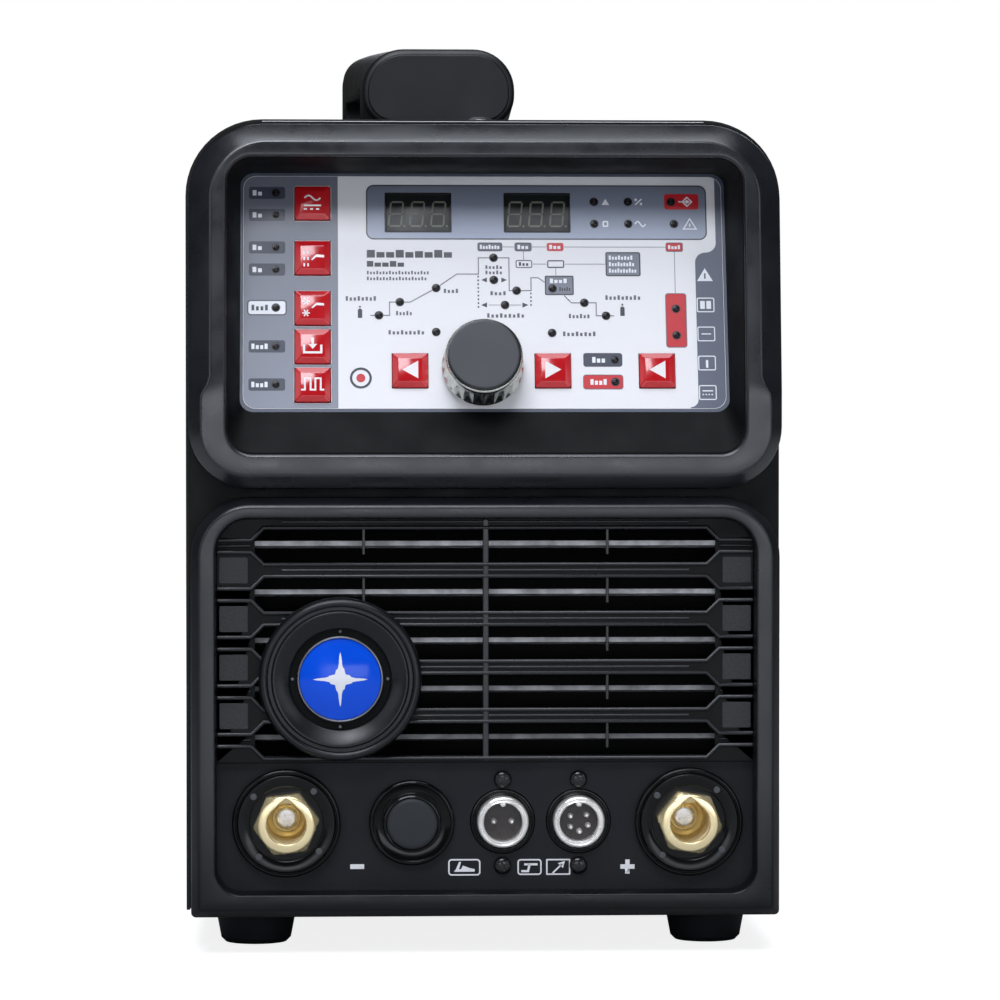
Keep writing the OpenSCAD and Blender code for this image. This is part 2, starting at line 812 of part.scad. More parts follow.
module fan_frame() {
    hub_r = 20;
    strut = 5;
    color("#17181a") facing_back(fan_x, rear_y - fan_depth, fan_z) {
        difference() {
            translate([-fan_side / 2, -fan_side / 2, 0]) cube([fan_side, fan_side, fan_depth]);
            translate([0, 0, -1]) cylinder(d = fan_d, h = fan_depth + 2);
            for (sx = [-1, 1], sy = [-1, 1]) translate([sx * fan_hole, sy * fan_hole, -1])
                cylinder(d = 4.3, h = fan_depth + 2);
            for (turn = [0 : 90 : 270]) rotate([0, 0, turn])
                translate([-40, fan_side / 2 - 3, 3.5]) cube([80, 4, fan_depth - 7]);
        }
        difference() {
            union() {
                cylinder(r = hub_r, h = 3);
                for (turn = [0 : 90 : 270]) rotate([0, 0, turn + 20])
                    translate([hub_r - 2, -strut / 2, 0]) cube([fan_d / 2 - hub_r + 2.6, strut, 3]);
                cylinder(r = 5, h = 14);
            }
            translate([0, 0, 1]) cylinder(r = 2.05, h = 14);
        }
    }
}

module fan_rotor() {
    blades = 7;
    hub_r = 21;
    hub_h = 17;
    blade_r = fan_d / 2 - 1.5;
    color("#1e1f22") facing_back(fan_x, rear_y - fan_depth + 4.2, fan_z) {
        difference() {
            cylinder(r = hub_r, h = hub_h);
            translate([0, 0, -eps]) cylinder(r = hub_r - 2, h = hub_h - 2);
        }
        translate([0, 0, -2.2]) cylinder(r = 2, h = hub_h + 1.2);
        intersection() {
            difference() {
                cylinder(r = blade_r, h = hub_h);
                translate([0, 0, -eps]) cylinder(r = hub_r - 1, h = hub_h + 1);
            }
            for (i = [0 : blades - 1]) rotate([0, 0, i * 360 / blades])
                translate([hub_r - 2, 0, hub_h / 2]) rotate([42, 0, 0])
                    translate([0, -15, -0.8]) cube([blade_r, 30, 1.6]);
        }
    }
}

module fan_guard() {
    wire_r = 1.1;
    ring_pitch = 10;
    spoke_l = fan_hole * sqrt(2) - 15.2;
    eyelet_h = 3;
    color("#c0c3c8") facing_back(fan_x, case_y1, fan_z) {
        for (ring = [0 : 4])
            translate([0, 0, eyelet_h / 2 + 1.5 * wire_r])
                rotate_extrude() translate([16 + ring * ring_pitch, 0]) circle(wire_r, $fn = 16);
        for (turn = [45 : 90 : 315]) rotate([0, 0, turn]) {
            translate([12, 0, eyelet_h / 2]) rotate([0, 90, 0])
                cylinder(r = wire_r, h = spoke_l, $fn = 16);
            translate([fan_hole * sqrt(2), 0, 0]) tube(4, 2.2, eyelet_h);
        }
    }
}

rocker_pivot_y = case_y1 + 0.5;
rocker_rest = 12;

module switch_body() {
    bezel_t = 1.8;
    color("#141416") difference() {
        union() {
            along_y(case_y1, case_y1 + bezel_t)
                translate([switch_x, rear_row_z]) rounded(switch_w + 4, switch_h + 4, 1.5);
            along_y(rear_y - 22, case_y1 + eps)
                translate([switch_x, rear_row_z]) square([switch_w, switch_h], center = true);
        }
        along_y(rear_y - 16, case_y1 + 3)
            translate([switch_x, rear_row_z]) square([switch_w - 4, switch_h - 4], center = true);
        translate([switch_x, rocker_pivot_y - 3, rear_row_z]) rotate([0, 90, 0])
            cylinder(r = 1.55, h = switch_w - 1.4, center = true);
    }
    for (x = [-6, 6], z = [-8, 0, 8])
        color("#c79a3a") translate([switch_x + x - 0.4, rear_y - 32, rear_row_z + z - 3])
            cube([0.8, 10 + eps, 6]);
}

module switch_rocker() {
    w = switch_w - 4.4;
    rocker_r = 13.2;
    back_cut = -4;
    face_cut = 7;
    color("#a01016") translate([switch_x, rocker_pivot_y - 3, rear_row_z]) rotate([rocker_rest, 0, 0])
        rotate([0, 90, 0]) {
            translate([0, 0, -w / 2]) linear_extrude(w) difference() {
                circle(rocker_r, $fn = 96);
                translate([-rocker_r, back_cut - rocker_r]) square([2 * rocker_r, rocker_r]);
                translate([-rocker_r, face_cut]) square([2 * rocker_r, rocker_r]);
            }
            cylinder(r = 1.5, h = switch_w - 1.6, center = true);
        }
}

module cable_gland() {
    color("#1a1b1d") facing_back(gland_x, 0, rear_row_z) difference() {
        union() {
            translate([0, 0, rear_y - 10]) cylinder(r = gland_r, h = case_y1 - rear_y + 12);
            translate([0, 0, case_y1]) cylinder(r = 11, h = 4, $fn = 6);
            translate([0, 0, case_y1 + 4]) cylinder(r = 9.4, h = 3.4);
            translate([0, 0, case_y1 + 7.4]) cylinder(r1 = 9.4, r2 = 6.4, h = 3);
            translate([0, 0, rear_y - 6.2]) cylinder(r = 11, h = 6, $fn = 6);
        }
        translate([0, 0, rear_y - 20]) cylinder(d = cable_d + 0.1, h = 60);
    }
}

cable_bend = 16;
cable_out_y = case_y1 + 27.4;
cable_end_z = 62;

module mains_cable() {
    color("#111112")
        pipe([[gland_x, 120, rear_row_z], [gland_x, cable_out_y, rear_row_z],
            [gland_x, cable_out_y, cable_end_z]], cable_d / 2, cable_bend);
}

module mains_cores() {
    color("#7a4a22") for (i = [0 : 2])
        translate([gland_x + 2 * cos(i * 120 + 90), cable_out_y + 2 * sin(i * 120 + 90), cable_end_z - 22])
            cylinder(r = 1.5, h = 22);
}

module gas_inlet() {
    color("#c79a3a") facing_back(gas_x, 0, rear_row_z) difference() {
        union() {
            translate([0, 0, rear_y - 8]) cylinder(r = inlet_r, h = 11);
            translate([0, 0, case_y1]) cylinder(r = 10, h = 5, $fn = 6);
            translate([0, 0, case_y1 + 5]) cylinder(r = 5, h = 3);
            translate([0, 0, case_y1 + 8]) cylinder(r = 4, h = inlet_tip - case_y1 - 11);
            for (ring = [0 : 2]) translate([0, 0, case_y1 + 14 + ring * 4.4])
                cylinder(r1 = 4.9, r2 = 4, h = 3.4);
            translate([0, 0, inlet_tip - 3.2]) cylinder(r1 = 4, r2 = 3.2, h = 3.2);
            translate([0, 0, rear_y - 6.2]) cylinder(r = 10, h = 6, $fn = 6);
            translate([0, 0, rear_y - 18]) cylinder(r = 4, h = 11);
        }
        translate([0, 0, rear_y - 30]) cylinder(r = 2.2, h = 80);
    }
}

valve_y = 150;
valve_z = rear_row_z;
plunger_r = 4;
plunger_travel = 2;

module gas_valve_body() {
    color("#b5893a") difference() {
        union() {
            translate([gas_x - 12, valve_y - 14, valve_z - 10]) cube([24, 28, 20]);
            translate([gas_x, valve_y, valve_z + 9.9]) cylinder(r = 6.5, h = 28);
            translate([gas_x - 13, valve_y - 13, valve_z + 13]) cube([26, 26, 22]);
            facing_front(gas_x, valve_y - 13.9, valve_z) cylinder(r = 3.6, h = 14);
        }
        facing_front(gas_x, rear_y - 18 + 0.1, valve_z) cylinder(r = 4.05, h = 8);
        facing_front(gas_x, rear_y, valve_z) cylinder(r = 2, h = 80);
        translate([gas_x, valve_y, valve_z + 2.2]) cylinder(r = plunger_r + run_gap, h = 34);
    }
}

module valve_plunger() {
    color("#d0d3d8") translate([gas_x, valve_y, valve_z + 2.4]) cylinder(r = plunger_r, h = 24);
}

module gas_hose() {
    start_y = valve_y - 20;
    front_y = -128;
    drop_z = 96;
    color("#2b5f96") difference() {
        pipe([[gas_x, start_y, valve_z], [gas_x, front_y, valve_z], [gas_x, front_y, drop_z],
            [socket_x[0], front_y, drop_z], [socket_x[0], front_y, 68]], 5, 14);
        facing_front(gas_x, start_y + 1, valve_z) cylinder(r = 3.62, h = 10);
    }
}

// Power parts

board_z = 112;

module power_board() {
    color("#1f5a37") translate([-84, -104, board_z]) cube([168, 216, 1.6]);
    color("#2c2d30") {
        translate([30, 60, board_z + 1.5]) cube([32, 28, 24]);
        translate([-70, 64, board_z + 1.5]) cube([40, 30, 18]);
    }
}

module at_sinks() {
    for (x = [-56, 6], y = [-92, -32]) translate([x, y, 0]) children();
}

module heat_sinks() {
    w = 50;
    l = 54;
    base_z = 92;
    fins = 11;
    color("#a9adb3") at_sinks() {
        translate([0, 0, base_z]) cube([w, l, 7]);
        for (i = [0 : fins - 1]) translate([i * (w - 1.6) / (fins - 1), 0, 44]) cube([1.6, l, 48.1]);
    }
}

module power_modules() {
    color("#26272a") at_sinks() for (y = [4, 30])
        translate([5, y, 99]) cube([40, 20, board_z - 99]);
}

module capacitors() {
    color("#23304f") for (x = [-58, -20, 18, 56], y = [-78, -38])
        translate([x, y, board_z + 1.6]) {
            cylinder(r = 16, h = 44);
            translate([0, 0, 44]) cylinder(r1 = 16, r2 = 15, h = 1);
        }
}

module main_transformer() {
    z = case_z0 + chassis_t;
    color("#3b3b3e") difference() {
        translate([-64, 44, z]) cube([70, 60, 62]);
        for (x = [-52, -16]) translate([x, 43, z + 12]) cube([10, 62, 38]);
    }
    color("#b0722e") difference() {
        translate([-51.9, 37, z + 12.1]) cube([45.8, 74, 37.8]);
        translate([-42, 36, z + 11]) cube([26, 76, 40]);
    }
}

module output_choke() {
    z = case_z0 + chassis_t;
    color("#b0722e") translate([50, 74, z + 15]) {
        rotate_extrude() translate([22, 0]) circle(12);
        for (i = [0 : 11]) rotate([0, 0, i * 30]) translate([22, 0, 0])
            rotate([90, 0, 0]) rotate_extrude() translate([12.4, 0]) circle(1.8, $fn = 24);
    }
}

// Copper bars from the socket studs back to the choke and the transformer
module output_bars() {
    lug_y = connector_y + 38;
    bar_w = 20;
    bar_t = 3;
    bar_z = 22;
    bar_end = 34;
    color("#b87333") for (x = socket_x) difference() {
        union() {
            translate([x - bar_w / 2, lug_y, bar_z]) cube([bar_w, bar_t, socket_z + 11 - bar_z]);
            translate([x - bar_w / 2, lug_y, bar_z]) cube([bar_w, bar_end - lug_y, bar_t]);
        }
        facing_back(x, lug_y - 1, socket_z) cylinder(r = 5.1, h = bar_t + 2);
    }
}

module case_screws() {
    color("#b9bcc2") {
        at_side_screws() flush_screw(side_screw_d, 7);
        for (y = top_screw_y) translate([0, y, case_z1]) pan_screw(9, 2.6, 4.3, 8);
        for (sx = [-1, 1], sz = [-1, 1])
            facing_back(fan_x + sx * fan_hole, case_y1 + 3, fan_z + sz * fan_hole)
                pan_screw(7.6, 2.4, 4.2, 20);
        at_feet() translate([0, 0, 6]) rotate([180, 0, 0]) pan_screw(8.4, 2.8, 4.3, 14);
        for (y = handle_screw_y) translate([handle_x, y, case_z1 - sheet_t])
            rotate([180, 0, 0]) pan_screw(9, 3, 4.8, 14);
    }
}

base_chassis();
housing_cover();
front_frame();
control_bezel();
grille_bezel();
air_louvre();
connector_panel();
badge_ring();
badge_dome();
control_tray();
panel_label();
display_left();
display_right();
indicator_leds();
ac_dc_button();
trigger_button();
cold_weld_button();
memory_button();
pulse_button();
back_button();
forward_button();
select_button();
encoder_body();
encoder_rotor();
encoder_shaft();
knob_skirt();
knob_cap();
control_board();
negative_flange();
negative_insert();
positive_flange();
positive_insert();
blank_plug();
connector_shells();
connector_inserts();
connector_pins();
connector_screws();
rear_panel();
fan_frame();
fan_rotor();
fan_guard();
switch_body();
switch_rocker();
cable_gland();
mains_cable();
mains_cores();
gas_inlet();
gas_hose();
gas_valve_body();
valve_plunger();
power_board();
heat_sinks();
power_modules();
capacitors();
main_transformer();
output_choke();
output_bars();
feet();
handle();
case_screws();
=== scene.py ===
"""Looks of the TIG welding machine: moulded front, printed control panel, sockets, case, light and camera."""
from math import copysign, cos, pi, radians, sin, sqrt, tan, tau

import bmesh
import bpy
from mathutils import Matrix, Vector

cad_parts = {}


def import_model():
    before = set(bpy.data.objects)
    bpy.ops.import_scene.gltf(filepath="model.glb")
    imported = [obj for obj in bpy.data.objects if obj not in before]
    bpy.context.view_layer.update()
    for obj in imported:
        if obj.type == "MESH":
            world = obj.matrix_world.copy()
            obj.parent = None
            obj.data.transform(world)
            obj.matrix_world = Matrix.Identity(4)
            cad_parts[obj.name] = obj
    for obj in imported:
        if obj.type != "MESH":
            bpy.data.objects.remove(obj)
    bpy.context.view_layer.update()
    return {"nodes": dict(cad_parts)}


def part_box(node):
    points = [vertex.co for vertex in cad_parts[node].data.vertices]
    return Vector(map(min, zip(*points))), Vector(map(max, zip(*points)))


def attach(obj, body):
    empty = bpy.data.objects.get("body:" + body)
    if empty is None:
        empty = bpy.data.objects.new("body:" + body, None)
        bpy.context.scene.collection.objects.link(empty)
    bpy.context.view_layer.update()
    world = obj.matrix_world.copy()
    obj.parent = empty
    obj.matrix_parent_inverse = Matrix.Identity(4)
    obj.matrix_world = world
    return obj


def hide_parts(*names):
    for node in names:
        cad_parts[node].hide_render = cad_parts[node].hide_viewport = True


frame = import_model()
NODES = frame["nodes"]
MM = 0.001

# ---------------------------------------------------------------- places taken from the frame

BODY = "machine"
PANEL_LEAN = radians(16.5)
RIM_LEAN = radians(7.0)
LABEL_T = 0.4


def node_box(name):
    """Corners of a CAD node in millimetres."""
    low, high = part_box(name)
    return low / MM, high / MM


def node_centre(name):
    low, high = node_box(name)
    return (low + high) / 2


FRAME_Y = node_box("front_frame")[0].y
GRILLE_LOW, GRILLE_HIGH = node_box("grille_bezel")
UPPER_LOW, UPPER_HIGH = node_box("control_bezel")
CASE_LOW, CASE_HIGH = node_box("housing_cover")
PANEL_Y = node_box("connector_panel")[0].y
LOWER_Y = GRILLE_LOW.y
GRILLE_Y = PANEL_Y - 3.0
RIM_Y = LOWER_Y - 2.0

PANEL_U = Vector((1, 0, 0))
PANEL_V = Vector((0, sin(PANEL_LEAN), cos(PANEL_LEAN)))
PANEL_W = PANEL_U.cross(PANEL_V)
PANEL_ORIGIN = node_centre("panel_label") + PANEL_W * (LABEL_T / 2)


def panel_frame(depth=0.0, u=0.0, v=0.0):
    """Matrix from panel coordinates (across, up the panel, out of it) to the machine, in millimetres."""
    m = Matrix((PANEL_U, PANEL_V, PANEL_W)).transposed().to_4x4()
    m.translation = PANEL_ORIGIN + PANEL_U * u + PANEL_V * v + PANEL_W * depth
    return m


def front_frame(x, y, z):
    """Matrix for a shape that lies in X and Z and grows out of the front, along -Y."""
    m = Matrix(((1, 0, 0), (0, 0, -1), (0, 1, 0))).to_4x4()
    m.translation = Vector((x, y, z))
    return m


# ---------------------------------------------------------------- outlines, all in millimetres

def arc(cx, cy, r, a0, a1, steps):
    return [(cx + r * cos(radians(a0 + (a1 - a0) * i / steps)),
             cy + r * sin(radians(a0 + (a1 - a0) * i / steps))) for i in range(steps + 1)]


def ring(cx, cy, r, steps=32):
    return arc(cx, cy, r, 0, 360, steps)[:-1]


def around(distance, r, steps, angles):
    """Small rings at some angles around the middle."""
    return [ring(distance * cos(radians(a)), distance * sin(radians(a)), r, steps) for a in angles]


def outline(w, z0, z1, r_top, r_bottom, corner=10, side=1):
    """Rounded rectangle as a closed loop from the bottom right; side cuts each straight run into steps."""
    corners = ((w / 2 - r_bottom, z0 + r_bottom, r_bottom, -90), (w / 2 - r_top, z1 - r_top, r_top, 0),
               (-w / 2 + r_top, z1 - r_top, r_top, 90), (-w / 2 + r_bottom, z0 + r_bottom, r_bottom, 180))
    arcs = [arc(x, z, r, a, a + 90, corner) for x, z, r, a in corners]
    loop = []
    for i, points in enumerate(arcs):
        loop += points
        start, end = points[-1], arcs[(i + 1) % 4][0]
        loop += [(start[0] + (end[0] - start[0]) * k / side, start[1] + (end[1] - start[1]) * k / side)
                 for k in range(1, side)]
    return loop


def rounded(cx, cy, w, h, r):
    return [(cx + x, cy + z) for x, z in outline(w, -h / 2, h / 2, r, r, 6)]


def triangle(cx, cy, w, h, turn=0):
    """Triangle pointing right, turned by some degrees."""
    c, s = cos(radians(turn)), sin(radians(turn))
    points = ((-w / 2, -h / 2), (w / 2, 0), (-w / 2, h / 2))
    return [(cx + x * c - y * s, cy + x * s + y * c) for x, y in points]


def stroke(points, width, closed=False):
    """Outline of a line of the given width through the points, with mitred corners."""
    count = len(points)
    left, right = [], []
    for i, (x, y) in enumerate(points):
        before = Vector(points[i - 1]) if i or closed else None
        after = Vector(points[(i + 1) % count]) if i < count - 1 or closed else None
        here = Vector((x, y))
        a = (here - before).normalized() if before is not None else (after - here).normalized()
        b = (after - here).normalized() if after is not None else a
        normal = Vector((-(a.y + b.y), a.x + b.x)).normalized()
        reach = width / 2 / max(0.35, normal.dot(Vector((-a.y, a.x))))
        left.append((x + normal.x * reach, y + normal.y * reach))
        right.append((x - normal.x * reach, y - normal.y * reach))
    if closed:
        return [left, right]
    return [left + right[::-1]]


def dashed(x0, y0, x1, y1, width, dash=0.9):
    """Short dashes along a line."""
    start, end = Vector((x0, y0)), Vector((x1, y1))
    steps = max(1, int((end - start).length / (2 * dash)))
    out = []
    for i in range(steps):
        a = start.lerp(end, i / steps)
        b = start.lerp(end, (i + 0.5) / steps)
        out += stroke([tuple(a), tuple(b)], width)
    return out


def sine(cx, cy, w, h, width):
    points = [(cx - w / 2 + w * i / 20, cy + h / 2 * sin(tau * i / 20)) for i in range(21)]
    return stroke(points, width)


# ---------------------------------------------------------------- meshes

def added(name, data):
    """New object in the scene for a mesh, curve, light or camera."""
    obj = bpy.data.objects.new(name, data)
    bpy.context.scene.collection.objects.link(obj)
    return obj


def mesh_object(name, bm, frame_matrix=None):
    """Turns a bmesh in millimetres into a smooth-shaded object in metres."""
    if frame_matrix is not None:
        bmesh.ops.transform(bm, matrix=frame_matrix, verts=bm.verts)
    bmesh.ops.scale(bm, vec=(MM, MM, MM), verts=bm.verts)
    bmesh.ops.recalc_face_normals(bm, faces=bm.faces)
    mesh = bpy.data.meshes.new(name)
    bm.to_mesh(mesh)
    bm.free()
    return added(name, mesh)


def bake(obj, angle=40):
    """Applies the modifiers, then shades smooth up to an angle."""
    deps = bpy.context.evaluated_depsgraph_get()
    mesh = bpy.data.meshes.new_from_object(obj.evaluated_get(deps), preserve_all_data_layers=True,
                                           depsgraph=deps)
    name = obj.name
    bpy.data.objects.remove(obj)
    out = added(name, mesh)
    mesh.shade_smooth()
    mesh.set_sharp_from_angle(angle=radians(angle))
    return out


def bevel(obj, width, segments=4, angle=24):
    mod = obj.modifiers.new("edges", "BEVEL")
    mod.width = width * MM
    mod.segments = segments
    mod.limit_method = "ANGLE"
    mod.angle_limit = radians(angle)
    mod.use_clamp_overlap = True
    return obj


def loft(bm, loops, closed_path=False, caps=False):
    """Joins loops of equal length with quads. A loop is a list of 3-D points."""
    rows = [[bm.verts.new(p) for p in loop] for loop in loops]
    count = len(rows[0])
    pairs = list(zip(rows, rows[1:]))
    if closed_path:
        pairs.append((rows[-1], rows[0]))
    for low, high in pairs:
        for i in range(count):
            j = (i + 1) % count
            bm.faces.new((low[i], low[j], high[j], high[i]))
    if caps:
        bm.faces.new(rows[0][::-1])
        bm.faces.new(rows[-1])
    return rows


def subtract(obj, cutter):
    """Cuts one object out of another with an exact boolean modifier; the caller bakes the object and removes
    the cutter.
    """
    cut = obj.modifiers.new("cut", "BOOLEAN")
    cut.operation = "DIFFERENCE"
    cut.solver = "EXACT"
    cut.object = cutter


def lofted(name, loops, frame_matrix=None, closed_path=False, caps=False):
    bm = bmesh.new()
    loft(bm, loops, closed_path, caps)
    return mesh_object(name, bm, frame_matrix)


def turned(profile, segments, x=0.0, y=0.0):
    """Loops around a point for (radius, height) pairs."""
    turns = [(cos(tau * i / segments), sin(tau * i / segments)) for i in range(segments)]
    return [[(x + r * c, y + r * s, h) for c, s in turns] for r, h in profile]


def lathe(name, profile, frame_matrix, segments=96, hollow=False):
    """Turned shape around +Z of the frame; the profile of a hollow one closes on itself."""
    return bake(lofted(name, turned(profile, segments), frame_matrix, hollow, not hollow))


def plate(name, shapes, thickness, frame_matrix, edge=0.0):
    """Flat piece of the given thickness from closed outlines; an outline inside another is a hole."""
    curve = bpy.data.curves.new(name, "CURVE")
    curve.dimensions = "2D"
    curve.fill_mode = "BOTH"
    curve.extrude = thickness / 2 * MM
    if edge:
        curve.bevel_depth = edge * MM
        curve.bevel_resolution = 2
        curve.extrude = (thickness / 2 - edge) * MM
        curve.offset = -edge * MM
    for points in shapes:
        spline = curve.splines.new("POLY")
        spline.points.add(len(points) - 1)
        for target, (x, y) in zip(spline.points, points):
            target.co = (x * MM, y * MM, 0, 1)
        spline.use_cyclic_u = True
    obj = added(name, curve)
    bpy.context.view_layer.update()
    obj = bake(obj)
    lift = Matrix.Translation((0, 0, thickness / 2 * MM))
    place = frame_matrix.copy()
    place.translation = frame_matrix.translation * MM
    obj.data.transform(place @ lift)
    return obj


def rod(name, paths, radius, sides=8):
    """Round bars through lists of 3-D points, in millimetres."""
    curve = bpy.data.curves.new(name, "CURVE")
    curve.dimensions = "3D"
    curve.bevel_depth = radius * MM
    curve.bevel_resolution = sides // 2
    curve.use_fill_caps = True
    for points in paths:
        spline = curve.splines.new("POLY")
        spline.points.add(len(points) - 1)
        for target, (x, y, z) in zip(spline.points, points):
            target.co = (x * MM, y * MM, z * MM, 1)
    obj = added(name, curve)
    bpy.context.view_layer.update()
    return bake(obj)


def place(obj, material, body=BODY, replaces=None, slot=None):
    """Gives a finished piece its material and body, and hides the CAD node it replaces."""
    obj.data.materials.clear()
    obj.data.materials.append(MATERIALS[material])
    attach(obj, body)
    if replaces:
        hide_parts(replaces)
    if slot or replaces:
        slot or replaces
    return obj


# ---------------------------------------------------------------- materials

# Places of the colour sockets on a Mix node
COLOUR_A, COLOUR_B, COLOUR_OUT = 6, 7, 2
ROUGH_VARY = 0.07


def add_node(tree, kind, values=(), links=(), **settings):
    """New shader node. Values and links are dictionaries from an input to its value or its source."""
    node = tree.nodes.new("ShaderNode" + kind)
    for name, value in settings.items():
        setattr(node, name, value)
    for socket, value in dict(values).items():
        node.inputs[socket].default_value = value
    for socket, source in dict(links).items():
        tree.links.new(source, node.inputs[socket])
    return node


def ranged(tree, value, from_min, from_max, to_min, to_max):
    limits = {"From Min": from_min, "From Max": from_max, "To Min": to_min, "To Max": to_max}
    return add_node(tree, "MapRange", limits, {"Value": value}).outputs["Result"]


def spread(tree, value, low, high):
    """Stretches the middle of a noise over a range."""
    return ranged(tree, value, 0.3, 0.7, low, high)


def noise(tree, coords, scale, detail=3.0, stretch=None):
    """Noise over the object's own coordinates; stretch squeezes it along the axes."""
    source = coords.outputs["Object"]
    if stretch:
        source = add_node(tree, "Mapping", {"Scale": stretch}, {"Vector": source}).outputs["Vector"]
    values = {"Scale": scale, "Detail": detail, "Roughness": 0.55}
    return add_node(tree, "TexNoise", values, {"Vector": source}).outputs["Fac"]


def tint(tree, value, dark, light):
    colours = {COLOUR_A: (*dark, 1), COLOUR_B: (*light, 1)}
    return add_node(tree, "Mix", colours, {0: value}, data_type="RGBA").outputs[COLOUR_OUT]


def multiplied(tree, value, factor):
    return add_node(tree, "Math", {1: factor}, {0: value}, operation="MULTIPLY").outputs["Value"]


def faded(tree, coords, paint, fade):
    """Painted shade and light by height: scales a colour evenly between two heights; also returns the scale.
    """
    split = add_node(tree, "SeparateXYZ", links={"Vector": coords.outputs["Object"]})
    level = ranged(tree, split.outputs["Z"], fade[0] * MM, fade[1] * MM, *fade[2:])
    scale = add_node(tree, "VectorMath", links={0: paint, "Scale": level}, operation="SCALE")
    return scale.outputs["Vector"], level


def surface(name, colour, rough, grain, grain_depth=0.05, metal=0.0, vary=0.12, mottle=60, stretch=None,
            edge=0.25, specular=0.5, coat=0.0, fade=None):
    """Procedural finish: colour mottling, roughness variation, fine grain and softened edges.

    grain_depth and edge are in millimetres. fade paints shade and light by height: (low z, high z, brightness
    low, brightness high), with the heights in millimetres; it scales the specular level too.
    """
    material = bpy.data.materials.new(name)
    material.use_nodes = True
    tree = material.node_tree
    shader = tree.nodes["Principled BSDF"]
    coords = add_node(tree, "TexCoord")
    blotch = noise(tree, coords, mottle)
    dark = [c * (1 - vary) for c in colour]
    light = [min(1.0, c * (1 + vary)) for c in colour]
    paint = tint(tree, spread(tree, blotch, 0, 1), dark, light)
    if fade:
        paint, level = faded(tree, coords, paint, fade)
        # the painted shade by height dims the specular level too
        tree.links.new(multiplied(tree, level, specular), shader.inputs["Specular IOR Level"])
    relief = {"Height": noise(tree, coords, grain, 2.0, stretch)}
    if edge:
        relief["Normal"] = add_node(tree, "Bevel", {"Radius": edge * MM}, samples=4).outputs["Normal"]
    bump = add_node(tree, "Bump", {"Strength": 1.0, "Distance": grain_depth * MM}, relief)
    links = {"Base Color": paint, "Normal": bump.outputs["Normal"],
             "Roughness": spread(tree, blotch, rough - ROUGH_VARY, rough + ROUGH_VARY)}
    for socket, source in links.items():
        tree.links.new(source, shader.inputs[socket])
    values = {"Metallic": metal, "Specular IOR Level": specular, "Coat Weight": coat, "Coat Roughness": 0.08}
    for socket, value in values.items():
        shader.inputs[socket].default_value = value
    return material


